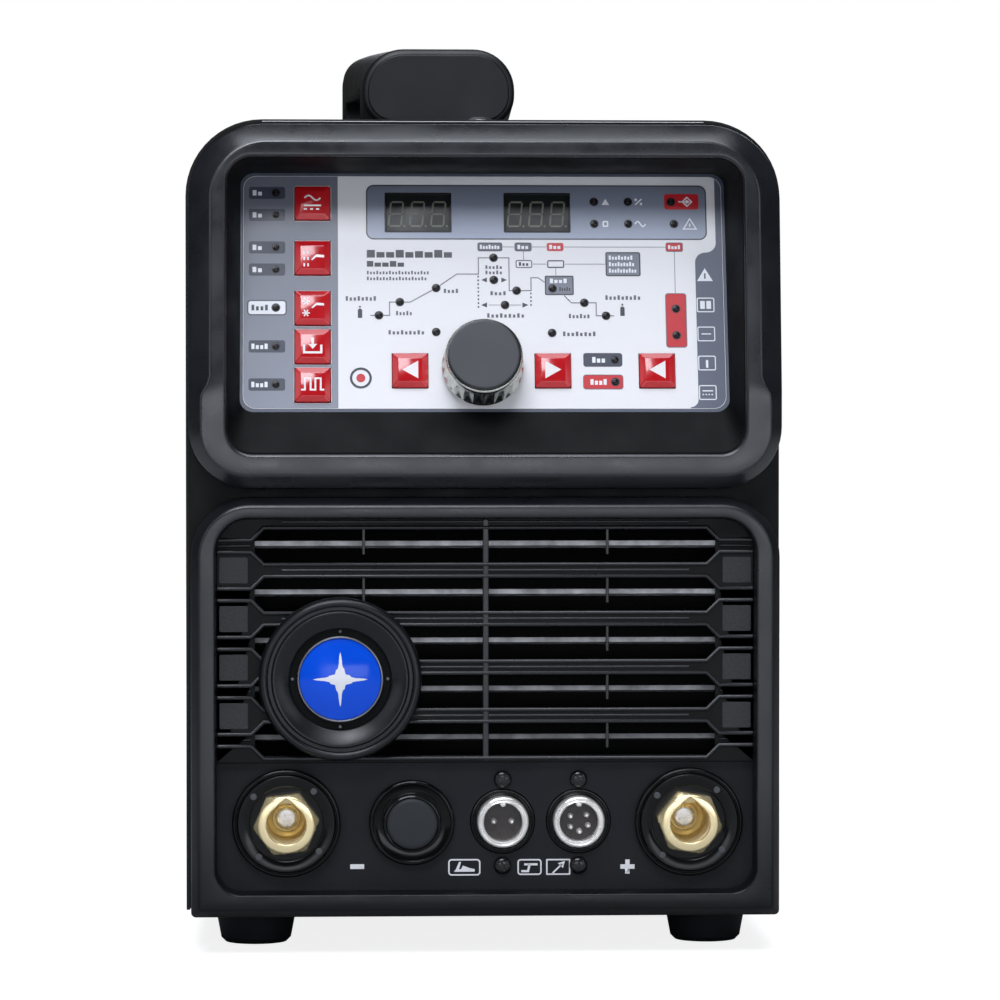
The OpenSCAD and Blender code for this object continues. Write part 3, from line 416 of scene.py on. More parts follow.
# Name: colour, roughness, grain scale, grain depth, then what differs from the usual finish
PALETTE = {
    "moulding": ((0.0075, 0.0088, 0.012), 0.29, 1700, 0.012, dict(specular=0.75)),
    # lower_moulding fades darker towards the bottom: painted shade on the lower bezel, in colour and
    # reflections
    "lower_moulding": ((0.007, 0.0082, 0.0108), 0.33, 1700, 0.012,
                       dict(specular=0.58, fade=(12, 60, 0.35, 1.0))),
    # darker, duller copy of the moulding: painted shade in the bezel recess and the badge's step
    "recess_painted_shade": ((0.0012, 0.0015, 0.002), 0.55, 1700, 0.02, dict(specular=0.13)),
    "bead": ((0.009, 0.01, 0.0125), 0.3, 1700, 0.008, dict()),
    # speckled texture with a lighter mottled tone: real grain, with the sheen it catches painted into the
    # colour
    "speckle_and_sheen": ((0.012, 0.013, 0.015), 0.4, 2600, 0.12, dict(vary=0.7, mottle=1300)),
    # near-white paint for the cover's top edge: a painted highlight
    "painted_edge_highlight": ((0.85, 0.86, 0.88), 0.35, 700, 0.01, dict(vary=0.05)),
    "contact_silver": ((0.9, 0.89, 0.86), 0.3, 900, 0.03, dict(metal=0.6, vary=0.15, mottle=900)),
    "plug_matt": ((0.022, 0.0245, 0.029), 0.55, 1500, 0.03, dict(specular=0.3)),
    "handle_cap": ((0.0035, 0.0045, 0.0065), 0.42, 1900, 0.02, dict(specular=0.36)),
    "grille": ((0.002, 0.0023, 0.0028), 0.5, 1700, 0.012, dict(specular=0.2)),
    "case_paint": ((0.003, 0.0033, 0.0037), 0.45, 1300, 0.03, dict(mottle=25, specular=0.35)),
    "panel_paint": ((0.005, 0.0065, 0.009), 0.5, 1200, 0.03, dict(specular=0.25)),
    "dark_steel": ((0.02, 0.02, 0.021), 0.35, 900, 0.01, dict(metal=0.3)),
    "gloss_black": ((0.006, 0.006, 0.007), 0.2, 600, 0.005, dict()),
    "satin_black": ((0.009, 0.0095, 0.011), 0.34, 1500, 0.01, dict()),
    "rubber": ((0.01, 0.011, 0.014), 0.6, 1400, 0.04, dict(vary=0.2, specular=0.15)),
    "handle_plastic": ((0.004, 0.0045, 0.0055), 0.45, 1900, 0.025, dict()),
    # louvre_grey: darker towards the bottom as painted shade, brighter towards the top as painted light
    "louvre_grey": ((0.42, 0.42, 0.43), 0.5, 700, 0.06,
                    dict(vary=0.45, mottle=160, fade=(64, 140, 0.3, 1.2))),
    "blue_grey": ((0.08, 0.095, 0.13), 0.4, 1500, 0.01, dict()),
    "film_white": ((0.82, 0.815, 0.83), 0.4, 900, 0.006, dict(vary=0.02, mottle=40)),
    # film_grey: darker towards the top as painted shade under the bezel's overhang, lighter towards the
    # bottom as painted light
    "film_grey": ((0.185, 0.2, 0.245), 0.4, 900, 0.006,
                  dict(vary=0.05, mottle=30, fade=(184, 262, 1.25, 0.85))),
    "film_slate": ((0.108, 0.122, 0.17), 0.4, 900, 0.006, dict(vary=0.05, mottle=30)),
    # film_window: darker at the top as painted shade under the bezel's overhang, brighter at the bottom as
    # painted light
    "film_window": ((0.28, 0.315, 0.405), 0.35, 900, 0.006,
                    dict(vary=0.05, mottle=30, fade=(241, 259, 1.2, 0.55))),
    "ink_pill": ((0.045, 0.052, 0.08), 0.4, 900, 0.004, dict(vary=0.2, edge=0.0)),
    "ink_slate": ((0.13, 0.14, 0.17), 0.4, 900, 0.004, dict(edge=0.0)),
    "ink_line": ((0.16, 0.165, 0.19), 0.4, 900, 0.004, dict(edge=0.0)),
    "ink_text": ((0.1, 0.105, 0.125), 0.4, 900, 0.004, dict(edge=0.0)),
    "ink_key": ((0.86, 0.82, 0.82), 0.3, 900, 0.004, dict(vary=0.03, edge=0.0, coat=0.4)),
    "panel_white": ((0.8, 0.8, 0.82), 0.5, 1200, 0.03, dict(vary=0.05, edge=0.0)),
    "knob_metal": ((0.62, 0.63, 0.58), 0.24, 900, 0.006, dict(metal=1.0, vary=0.05)),
    "knob_grey": ((0.024, 0.027, 0.034), 0.42, 1600, 0.01, dict()),
    "badge_black": ((0.0045, 0.0052, 0.0068), 0.3, 1500, 0.012, dict(specular=0.4)),
    "badge_pip": ((0.12, 0.12, 0.12), 0.3, 900, 0.005, dict()),
    "badge_blue": ((0.002, 0.082, 0.74), 0.14, 500, 0.003, dict(vary=0.06, specular=0.3)),
    "gunmetal": ((0.3, 0.3, 0.31), 0.3, 900, 0.006, dict(metal=1.0)),
    "socket_black": ((0.0022, 0.0026, 0.003), 0.15, 1300, 0.006, dict(specular=0.28, edge=0.35)),
    "socket_pip": ((0.05, 0.052, 0.058), 0.4, 1300, 0.008, dict()),
    # matt black for the sheet behind the louvre: painted shade inside the case
    "painted_shade_sheet": ((0.002, 0.002, 0.0022), 0.9, 2500, 0.3, dict(specular=0.1, edge=0.0)),
    "bakelite": ((0.03, 0.022, 0.02), 0.35, 700, 0.02, dict(vary=0.4, mottle=500)),
    "black_anodised": ((0.012, 0.012, 0.013), 0.4, 900, 0.01, dict(metal=0.6)),
    "ink_dark": ((0.03, 0.034, 0.045), 0.35, 900, 0.004, dict(edge=0.0)),
    "ink_black": ((0.012, 0.012, 0.014), 0.35, 900, 0.004, dict(edge=0.0)),
    "ink_white": ((0.83, 0.84, 0.88), 0.4, 900, 0.004, dict(vary=0.03, edge=0.0)),
    "ink_red": ((0.56, 0.012, 0.022), 0.35, 900, 0.004, dict(vary=0.08, edge=0.0)),
    "key_red": ((0.55, 0.008, 0.014), 0.2, 700, 0.006, dict(vary=0.08, coat=0.5)),
    "led_lens": ((0.008, 0.006, 0.008), 0.15, 500, 0.004, dict(specular=0.3)),
    "smoked": ((0.01, 0.012, 0.012), 0.2, 500, 0.004, dict(specular=0.2)),
    "segment": ((0.16, 0.17, 0.13), 0.4, 900, 0.01, dict(edge=0.0)),
    "nickel": ((0.93, 0.91, 0.88), 0.24, 900, 0.01, dict(metal=0.7, vary=0.05)),
    "zinc": ((0.55, 0.56, 0.58), 0.3, 900, 0.02, dict(metal=1.0, vary=0.1)),
    "brass": ((1.0, 0.8, 0.46), 0.22, 800, 0.01, dict(metal=0.72, vary=0.08)),
    "copper": ((0.7, 0.33, 0.17), 0.35, 700, 0.02, dict(metal=1.0)),
    "aluminium": ((0.6, 0.61, 0.63), 0.4, 900, 0.02, dict(metal=1.0, stretch=(1, 1, 0.05))),
    "circuit": ((0.004, 0.018, 0.008), 0.35, 300, 0.03, dict(vary=0.3, mottle=400)),
    "epoxy": ((0.012, 0.012, 0.013), 0.5, 900, 0.03, dict()),
    "ferrite": ((0.02, 0.02, 0.022), 0.6, 500, 0.05, dict()),
    "sleeve_blue": ((0.006, 0.008, 0.016), 0.3, 600, 0.01, dict()),
    "hose_blue": ((0.02, 0.07, 0.2), 0.5, 900, 0.05, dict()),
    "core_brown": ((0.12, 0.045, 0.02), 0.4, 900, 0.02, dict()),
    "rocker_red": ((0.42, 0.006, 0.01), 0.25, 700, 0.006, dict(coat=0.3)),
    "acetal": ((0.7, 0.7, 0.68), 0.4, 900, 0.01, dict()),
}
MATERIALS = {name: surface(name, *usual, **special) for name, (*usual, special) in PALETTE.items()}

CAD_FINISH = {
    "dark_steel": "base_chassis connector_screws",
    "case_paint": "housing_cover rear_panel",
    "grille": "front_frame grille_bezel",
    "louvre_grey": "air_louvre",
    "panel_paint": "connector_panel",
    "blue_grey": "control_tray",
    "film_white": "panel_label",
    "led_lens": "indicator_leds",
    "zinc": "encoder_body valve_plunger case_screws",
    "acetal": "encoder_rotor",
    "aluminium": "encoder_shaft",
    "circuit": "control_board power_board",
    "bakelite": "connector_inserts",
    "nickel": "connector_pins fan_guard connector_shells knob_skirt",
    "satin_black": "fan_frame fan_rotor cable_gland negative_flange "
                   "positive_flange blank_plug knob_cap badge_ring",
    "gloss_black": "switch_body badge_dome",
    "rocker_red": "switch_rocker",
    "rubber": "mains_cable feet",
    "core_brown": "mains_cores",
    "brass": "gas_inlet gas_valve_body negative_insert positive_insert",
    "hose_blue": "gas_hose",
    "black_anodised": "heat_sinks",
    "epoxy": "power_modules",
    "sleeve_blue": "capacitors",
    "ferrite": "main_transformer",
    "copper": "output_choke output_bars",
    "smoked": "display_left display_right",
    "handle_plastic": "handle",
    "moulding": "control_bezel",
}


def finish_cad_nodes():
    """Gives every CAD node a finish; the keys are red."""
    finish = {node: material for material, nodes in CAD_FINISH.items() for node in nodes.split()}
    for name, obj in NODES.items():
        obj.data.materials.clear()
        obj.data.materials.append(MATERIALS[finish.get(name, "key_red")])


# ---------------------------------------------------------------- upper bezel

UPPER_W = UPPER_HIGH.x - UPPER_LOW.x
RIM_STEP_Z = 190.0
SIDE_STEPS = 26
TRAY_R = 4.5
RIM_DROP = 2.3


def smooth_step(value):
    t = min(1.0, max(0.0, value))
    return t * t * (3 - 2 * t)


def rim_y(z):
    """Front of the upper rim: upright at the bottom, leaning back above the step."""
    return RIM_Y + max(0.0, z - RIM_STEP_Z) * tan(RIM_LEAN)


def on_panel_plane(points, depth):
    m = panel_frame(depth)
    return [tuple(m @ Vector((x, y, 0))) for x, y in points]


def control_bezel():
    """Leaning rim, rounded outside and chamfered inside, and the recess down to the panel, darkened as
    painted shade.
    """
    z0, z1 = UPPER_LOW.z, CASE_HIGH.z - RIM_DROP
    shoulder = 7.4
    wall = 2.4

    def loop(w, low, high, r_top, r_bottom, y_of):
        points = outline(w, low, high, r_top, r_bottom, 14, SIDE_STEPS)
        return [(x, y_of(z), z) for x, z in points]

    def edge_line():
        points = outline(UPPER_W - 2 * shoulder, z0 + 4.6, z1 - 5.8, 19, 15, 14, SIDE_STEPS)
        out = []
        for x, z in points:
            widen = 3.4 * smooth_step((RIM_STEP_Z + 4 - z) / 7) * smooth_step((abs(x) - 60) / 30)
            out.append((x + copysign(widen, x), rim_y(z), z))
        return out

    inner = (174.6, z0 + 11.2, z1 - 10.9, 9, 9)
    inner_wide = (inner[0] + 2 * wall, inner[1] - wall, inner[2] + wall, 11, 11)
    label_low, label_high = node_box("panel_label")
    tray = (label_high.x - label_low.x + 1.6, (label_high.z - label_low.z) / cos(PANEL_LEAN) + 1.6)

    def tray_loop(grow, depth):
        h = tray[1] / 2 + grow
        points = outline(tray[0] + 2 * grow, -h, h, TRAY_R + grow, TRAY_R + grow, 14, SIDE_STEPS)
        return on_panel_plane(points, depth)

    lip = (inner[0] - 1.6, inner[1] + 0.8, inner[2] - 0.8, 8.4, 8.4)
    rim = [
        loop(UPPER_W, z0, z1, 25, 21, lambda z: FRAME_Y),
        loop(UPPER_W, z0, z1, 25, 21, lambda z: min(rim_y(z) + 5.6, FRAME_Y - 1)),
        edge_line(),
        loop(*inner, rim_y),
        loop(*lip, lambda z: rim_y(z) + 1.4),
        loop(*inner_wide, lambda z: rim_y(z) + 3),
        loop(UPPER_W - 6, z0 + 3, z1 - 3, 22, 18, lambda z: min(rim_y(z) + 7, FRAME_Y - 0.5)),
        loop(UPPER_W - 6, z0 + 3, z1 - 3, 22, 18, lambda z: FRAME_Y),
    ]
    obj = bake(bevel(lofted("upper_bezel_rim", rim, closed_path=True), 1.1), 50)
    place(obj, "moulding", replaces="control_bezel")
    recess = [
        loop(*lip, lambda z: rim_y(z) + 1.2),
        tray_loop(0, 0.2),
        tray_loop(wall, 0.2),
        loop(*inner_wide, lambda z: rim_y(z) + 3.2),
    ]
    obj = bake(bevel(lofted("upper_bezel_recess", recess, closed_path=True), 0.6, 3), 50)
    # the recess is the same moulding as the rim, darkened as painted shade
    place(obj, "recess_painted_shade", slot="control_bezel")


def cover_edge_highlight():
    """Near-white rod along the cover's top front edge above the upper bezel: a painted highlight where
    overhead light catches the edge.
    """
    half = CASE_HIGH.x - 26
    path = [(-half, CASE_LOW.y + 0.6, CASE_HIGH.z - 0.66), (half, CASE_LOW.y + 0.6, CASE_HIGH.z - 0.66)]
    place(rod("cover_top_highlight", [path], 0.62, 12), "painted_edge_highlight", slot="housing_cover")


# ---------------------------------------------------------------- lower bezel and grille

WINDOW_W = 181.4
WINDOW_Z = (20.9, 147.0)
SHELF_Z = 64.5
SLOT_PITCH = 16.3
SLOT_Z = 72.2
SLOT_H = 12.4
SLOT_HALF = 74.5
SLOT_REACH = 90.0
NECK_H = 4.0
RAMP = (SLOT_H - NECK_H) / 2


def slot_loop(z):
    right = [(SLOT_HALF, -SLOT_H / 2), (SLOT_HALF + RAMP, -NECK_H / 2), (SLOT_REACH, -NECK_H / 2),
             (SLOT_REACH, NECK_H / 2), (SLOT_HALF + RAMP, NECK_H / 2), (SLOT_HALF, SLOT_H / 2)]
    return [(x, z + y) for x, y in right] + [(-x, z - y) for x, y in right]


def bead_path(z, side):
    """One long edge of a slot, from neck to neck."""
    steps = [(-SLOT_REACH, NECK_H / 2), (-SLOT_HALF - RAMP, NECK_H / 2), (-SLOT_HALF, SLOT_H / 2),
             (SLOT_HALF, SLOT_H / 2), (SLOT_HALF + RAMP, NECK_H / 2), (SLOT_REACH, NECK_H / 2)]
    return [(x, GRILLE_Y, z + side * y) for x, y in steps]


def grille_bezel():
    """Chamfered frame around the grille and the connector panel."""
    z0, z1 = GRILLE_LOW.z, GRILLE_HIGH.z
    w = GRILLE_HIGH.x - GRILLE_LOW.x
    chamfer = 2.7
    y = LOWER_Y

    def loop(width, low, high, r_top, r_bottom, depth):
        return [(x, depth, z) for x, z in outline(width, low, high, r_top, r_bottom, 14)]

    low, high = WINDOW_Z
    loops = [
        loop(w, z0, z1, 20, 1.6, FRAME_Y),
        loop(w, z0, z1, 20, 1.6, y + 4.2),
        loop(w - 2 * chamfer, z0 + chamfer, z1 - chamfer, 17.3, 1.0, y),
        loop(WINDOW_W, low, high, 11.5, 8.8, y),
        loop(WINDOW_W - 1, low + 0.5, high - 0.5, 11, 8.4, GRILLE_Y),
        loop(WINDOW_W - 1, low + 0.5, high - 0.5, 11, 8.4, PANEL_Y),
        loop(WINDOW_W + 5, low - 2.5, high + 2.5, 14, 10, PANEL_Y),
        loop(WINDOW_W + 5, low - 2.5, high + 2.5, 14, 10, y + 3),
        loop(w - 6, z0 + 3, z1 - 3, 17, 2, y + 5),
        loop(w - 6, z0 + 3, z1 - 3, 17, 2, FRAME_Y),
    ]
    obj = bake(bevel(lofted("lower_bezel", loops, closed_path=True), 0.9), 50)
    place(obj, "lower_moulding", replaces="grille_bezel")


def grille_rows():
    return [SLOT_Z + SLOT_PITCH * i for i in range(5)]


def grille_face():
    """Slotted face with the beads around its slots, the ridges between them and the upright ribs."""
    low, high = SHELF_Z, WINDOW_Z[1]
    outer = outline(WINDOW_W - 0.6, low, high - 0.3, 11, 0.5, 10)
    slots = [slot_loop(z) for z in grille_rows()]
    obj = plate("grille_face", [outer] + slots, PANEL_Y - GRILLE_Y, front_frame(0, PANEL_Y, 0), 0.35)
    place(obj, "grille", slot="grille_bezel")
    beads = [bead_path(z, side) for z in grille_rows() for side in (-1, 1)]
    place(rod("grille_beads", beads, 0.75), "bead", slot="grille_bezel")
    ridge_half = SLOT_HALF - 6
    ridges = [[(side * ridge_half, GRILLE_Y + 0.2, z + SLOT_PITCH / 2) for side in (-1, 1)]
              for z in grille_rows()]
    place(rod("grille_ridges", ridges, 0.5), "bead", slot="grille_bezel")
    bars = [rounded(0, (low + high) / 2, 2.0, high - low - 1, 0.9)]
    place(plate("grille_rib", bars, 2.6, front_frame(0, GRILLE_Y + 2.2, 0), 0.3), "bead", slot="grille_bezel")
    thin = [rounded(x, z + 1.6, 1.0, SLOT_H - 3.2, 0.4) for x in (-41, 41) for z in grille_rows()]
    place(plate("grille_thin_ribs", thin, 1.6, front_frame(0, GRILLE_Y + 2.6, 0), 0.2), "bead",
          slot="grille_bezel")


def interior_shade_sheet():
    """Black sheet behind the louvre: painted shade that keeps the inside dark."""
    low, high = node_box("air_louvre")
    x, z0, z1 = GRILLE_HIGH.x - 10, low.z - 2, high.z + 2
    sheet = [[(-x, z0), (x, z0), (x, z1), (-x, z1)]]
    obj = plate("interior_shade_sheet", sheet, 0.5, front_frame(0, high.y + 4.5, 0))
    place(obj, "painted_shade_sheet", slot="air_louvre")


def grille_pads():
    """Closed floors of the slot necks, and the speckled fields between them, whose lighter tone is painted
    sheen.
    """
    floors, fields, lines = [], [], []
    for z in grille_rows():
        for side in (-1, 1):
            floors.append([(side * x, z + y) for x, y in ((77.5, -3.4), (90, -3.4), (90, 3.4), (77.5, 3.4))])
            lines.append([(side * 79, GRILLE_Y + 1.3, z), (side * 90, GRILLE_Y + 1.3, z)])
    for z in grille_rows()[:-1]:
        for side in (-1, 1):
            fields.append(rounded(side * 84.6, z + SLOT_PITCH / 2, 9.6, SLOT_PITCH - NECK_H - 3.6, 0.5))
    place(plate("grille_neck_floors", floors, 0.8, front_frame(0, GRILLE_Y + 2.4, 0)), "grille",
          slot="grille_bezel")
    place(rod("grille_neck_lines", lines, 0.45), "bead", slot="grille_bezel")
    place(plate("grille_fields", fields, 0.1, front_frame(0, GRILLE_Y, 0)), "speckle_and_sheen", slot="grille_bezel")


# ---------------------------------------------------------------- control panel: places

def panel_spot(name):
    """Middle of a CAD node across the panel and up it, in millimetres."""
    spots = [v.co / MM - PANEL_ORIGIN for v in NODES[name].data.vertices]
    return middle(p.dot(PANEL_U) for p in spots), middle(p.dot(PANEL_V) for p in spots)


def islands(name):
    """Corner lists, in millimetres, of the separate solids in one CAD node."""
    bm = bmesh.new()
    bm.from_mesh(NODES[name].data)
    bmesh.ops.remove_doubles(bm, verts=bm.verts, dist=1e-6)
    seen, groups = set(), []
    for first in bm.verts:
        if first in seen:
            continue
        group, queue = [], [first]
        seen.add(first)
        while queue:
            vert = queue.pop()
            group.append(vert.co / MM)
            for edge in vert.link_edges:
                other = edge.other_vert(vert)
                if other not in seen:
                    seen.add(other)
                    queue.append(other)
        groups.append(group)
    bm.free()
    return groups


def middle(values):
    values = list(values)
    return (min(values) + max(values)) / 2


def island_spots(name):
    """Panel places of the separate solids in one CAD node."""
    groups = [[p - PANEL_ORIGIN for p in group] for group in islands(name)]
    return [tuple(middle(p.dot(axis) for p in group) for axis in (PANEL_U, PANEL_V)) for group in groups]


def front_spots(name):
    """X and Z places of the separate solids in one CAD node."""
    return [(middle(p.x for p in group), middle(p.z for p in group)) for group in islands(name)]


KEYS = ("ac_dc_button", "trigger_button", "cold_weld_button", "memory_button", "pulse_button",
        "back_button", "forward_button", "select_button")
KEY_SPOTS = {name: panel_spot(name) for name in KEYS}
DISPLAY_SPOTS = [panel_spot("display_left"), panel_spot("display_right")]
KNOB_SPOT = panel_spot("knob_cap")
LED_SPOTS = island_spots("indicator_leds")


# ---------------------------------------------------------------- push buttons

KEY_HALF = 6.0
KEY_FACE = 1.7


def key_cap(name):
    u, v = KEY_SPOTS[name]
    steps = ((0.6, -3.95, 0.8), (0.6, -3.3, 0.8), (0, -3.25, 0.9), (0, 0.65, 0.9), (-0.12, 0.84, 0.8),
             (-0.4, 0.95, 0.7), (-1.8, KEY_FACE - 0.06, 0.5), (-2.0, KEY_FACE, 0.4))
    loops = []
    for grow, depth, r in steps:
        size = 2 * (KEY_HALF + grow)
        loops.append([(x, y, depth) for x, y in rounded(0, 0, size, size, r)])
    obj = bake(lofted(name + "_cap", loops, panel_frame(0, u, v), caps=True), 24)
    place(obj, "key_red", body=name, replaces=name, slot="button")


def torch(cx, cy, size):
    """Side view of a welding torch, its tip to the lower left."""
    body = [(-4.2, -1.7), (-3.4, -2.1), (-0.9, 0.1), (4.3, -0.2), (4.3, 1.5), (-0.6, 1.9), (-1.9, 1.0)]
    return [[(cx + x * size, cy + y * size) for x, y in body]]


def flake(cx, cy, r, width):
    arms = []
    for turn in (0, 60, 120):
        c, s = cos(radians(turn)) * r, sin(radians(turn)) * r
        arms += stroke([(cx - c, cy - s), (cx + c, cy + s)], width)
    return arms


def square_wave(width):
    points = [(-3.9, -2), (-2.6, -2), (-2.6, 2), (-0.7, 2), (-0.7, -2), (0.9, -2), (0.9, 2), (2.7, 2),
              (2.7, -2), (3.9, -2)]
    return stroke(points, width)


def tray_arrow():
    tray = stroke([(-2.9, 0.3), (-2.9, -2.4), (2.9, -2.4), (2.9, 0.3)], 0.75)
    return tray + [triangle(0, -0.3, 1.8, 3.0, -90)] + stroke([(0, 0.4), (0, 2.8)], 0.9)


KEY_MARKS = {
    "ac_dc_button": sine(0, 1.5, 5.4, 1.7, 0.55) + stroke([(-2.9, -1.2), (2.9, -1.2)], 0.55)
    + dashed(-2.9, -2.5, 3.3, -2.5, 0.55, 0.78),
    "trigger_button": dashed(-2.8, -3.4, -2.8, 3.4, 0.5, 0.9) + dashed(-1.5, -3.4, -1.5, 3.4, 0.5, 0.9)
    + torch(1.7, -0.1, 0.52),
    "cold_weld_button": flake(-2.2, 2.1, 1.3, 0.45) + flake(-2.2, -2.1, 1.3, 0.45) + torch(1.7, 0.6, 0.5),
    "memory_button": tray_arrow(),
    "pulse_button": square_wave(0.6),
    "back_button": [triangle(0, 0, 5.4, 6.2, 180)],
    "forward_button": [triangle(0, 0, 5.4, 6.2)],
    "select_button": [triangle(0, 0, 5.4, 6.2, 180)],
}


def key_mark(name):
    u, v = KEY_SPOTS[name]
    for i, shape in enumerate(KEY_MARKS[name]):
        part = plate(f"{name}_mark_{i}", [shape], 0.05, panel_frame(KEY_FACE - 0.01, u, v))
        place(part, "ink_key", body=name, slot="button")


def keys():
    for name in KEYS:
        key_cap(name)
        key_mark(name)


# ---------------------------------------------------------------- displays

DIGIT_W = 4.2
DIGIT_H = 8.6
DIGIT_SLANT = 0.1
DIGIT_PITCH = 7.2
DISPLAY_FACE = -0.8


def digit(cx, cy):
    """Seven slanted segments and a point, each pointed at both ends."""
    def bar(x0, y0, x1, y1):
        start, end = Vector((x0, y0)), Vector((x1, y1))
        along = (end - start).normalized()
        across = Vector((-along.y, along.x)) * 0.3
        start, end = start + along * 0.12, end - along * 0.12
        corners = (start, start + along * 0.3 - across, end - along * 0.3 - across, end,
                   end - along * 0.3 + across, start + along * 0.3 + across)
        return [(cx + p.x + DIGIT_SLANT * p.y, cy + p.y) for p in corners]

    w, h = DIGIT_W / 2, DIGIT_H / 2
    bars = [bar(-w, h, w, h), bar(-w, 0, w, 0), bar(-w, -h, w, -h)]
    bars += [bar(x, y, x, y + h) for x in (-w, w) for y in (-h, 0)]
    return bars + [ring(cx + w + 0.75, cy - h, 0.36, 12)]


def displays():
    shapes = []
    for u, v in DISPLAY_SPOTS:
        for i in (-1, 0, 1):
            shapes += digit(u + i * DIGIT_PITCH - 0.3, v - 0.3)
    segments = plate("display_segments", shapes, 0.05, panel_frame(DISPLAY_FACE - 0.01))
    place(segments, "segment", slot="display_left")
    frames = []
    for u, v in DISPLAY_SPOTS:
        frames += [rounded(u, v, 22.7, 14.3, 0.3), rounded(u, v, 21.5, 13.1, 0.2)]
    rim = plate("display_rims", frames, 0.8, panel_frame(DISPLAY_FACE - 0.02), 0.12)
    place(rim, "smoked", slot="display_left")


# ---------------------------------------------------------------- printed label

INK = 0.045
LABEL_LEFT, LABEL_RIGHT = -81.3, 81.3
LABEL_TOP, LABEL_BOTTOM = 41.1, -41.1
LABEL_R = 4.3


def ink(name, material, shapes, level=0, slot="panel_label"):
    """One printed colour; level stacks the colours on each other."""
    obj = plate(name, shapes, INK, panel_frame(level * INK * 0.8 - 0.005))
    place(obj, material, slot=slot)


def key_holes(names):
    return [rounded(*KEY_SPOTS[name], 2 * KEY_HALF + 0.8, 2 * KEY_HALF + 0.8, 0.8) for name in names]


def letters(u0, u1, v, h, count, fill=0.62):
    """Row of plain blocks that stands for a short printed legend."""
    pitch = (u1 - u0) / count
    heights = (1.0, 0.72, 0.72, 1.0, 0.72, 0.85, 0.72)
    blocks = []
    for i in range(count):
        tall = h * heights[i % len(heights)]
        left = u0 + pitch * i
        bottom = v - h / 2
        blocks.append([(left, bottom), (left + pitch * fill, bottom), (left + pitch * fill, bottom + tall),
                       (left, bottom + tall)])
    return blocks


def all_letters(rows):
    return sum((letters(*row) for row in rows), [])


def frame_of(cx, cy, w, h, r, line):
    """Outline ring of a rounded box."""
    return [rounded(cx, cy, w, h, r), rounded(cx, cy, w - 2 * line, h - 2 * line, max(0.1, r - line))]


def frames_of(boxes):
    return sum((frame_of(*box) for box in boxes), [])


def left_column():
    edge = -49.4
    shape = [(edge, LABEL_BOTTOM), (edge, LABEL_TOP)]
    shape += arc(LABEL_LEFT + LABEL_R, LABEL_TOP - LABEL_R, LABEL_R, 90, 180, 8)
    shape += arc(LABEL_LEFT + LABEL_R, LABEL_BOTTOM + LABEL_R, LABEL_R, 180, 270, 8)
    ink("label_left_column", "film_grey", [shape] + key_holes(KEYS[:5]))


def right_strip():
    wide, narrow, bend = 79.2, 72.0, 3.5
    turn_v = 14.1
    shape = [(wide, LABEL_TOP - 0.3)]
    shape += arc(wide - bend, turn_v + bend, bend, 0, -90, 6)
    shape += arc(narrow + bend, turn_v - bend, bend, 90, 180, 6)
    shape += arc(narrow - 2.6, LABEL_BOTTOM + 3.0, 2.6, 0, -90, 6)
    shape += [(narrow - 2.6, LABEL_BOTTOM)]
    shape += arc(LABEL_RIGHT - LABEL_R, LABEL_BOTTOM + LABEL_R, LABEL_R, -90, 0, 8)
    shape += arc(LABEL_RIGHT - LABEL_R, LABEL_TOP - LABEL_R, LABEL_R, 0, 55, 6)
    ink("label_right_strip", "film_slate", [shape])


WINDOW_U = (-39.8, 76.3)
WINDOW_V = (18.6, 38.2)


def display_window():
    cx, cy = sum(WINDOW_U) / 2, sum(WINDOW_V) / 2
    w, h = WINDOW_U[1] - WINDOW_U[0], WINDOW_V[1] - WINDOW_V[0]
    holes = [rounded(u, v, 22.7, 14.3, 0.4) for u, v in DISPLAY_SPOTS]
    ink("label_window_field", "film_window", [rounded(cx, cy, w - 0.5, h - 0.5, 2.3)] + holes)
    ink("label_window_line", "ink_dark", frame_of(cx, cy, w, h, 2.6, 0.42), 1)


PILL_W, PILL_H = 12.3, 4.3
PILL_U = -73.4
PILL_V = (35.2, 27.3, 15.7, 7.8, -19.4, -32.8)
LIGHT_PILL_V = -5.7
TAGS = ((39.9, -24.1), (39.9, -31.9))


def pills():
    """Dark and light name pills of the left column."""
    fields = [rounded(PILL_U, v, PILL_W, PILL_H, 0.8) for v in PILL_V] + [rounded(*TAGS[0], 13.2, 4.8, 0.9)]
    ink("label_pills", "ink_pill", fields, 1)
    light = (PILL_U, LIGHT_PILL_V)
    ink("label_light_pill", "ink_white", [rounded(*light, PILL_W + 0.2, PILL_H + 0.3, 0.9)], 1)
    ink("label_light_pill_line", "ink_dark", frame_of(*light, PILL_W + 1, PILL_H + 1.1, 1.2, 0.36), 1)
    white = []
    for v in PILL_V:
        left, right, count = (-5.2, 0.7, 4) if v < 0 else (-4.9, -1.2, 2)
        white += letters(PILL_U + left, PILL_U + right, v, 1.9, count, 0.7)
    u, v = TAGS[0]
    ink("label_pill_legends", "ink_white", white + letters(u - 3.6, u + 1.2, v, 2.0, 3, 0.7), 2)
    ink("label_dark_legend", "ink_dark", letters(PILL_U - 5.2, PILL_U + 0.9, LIGHT_PILL_V, 2.0, 4, 0.6), 2)


RED_TAG = (67.8, 32.3)
RED_BAR = (65.1, -10.1)


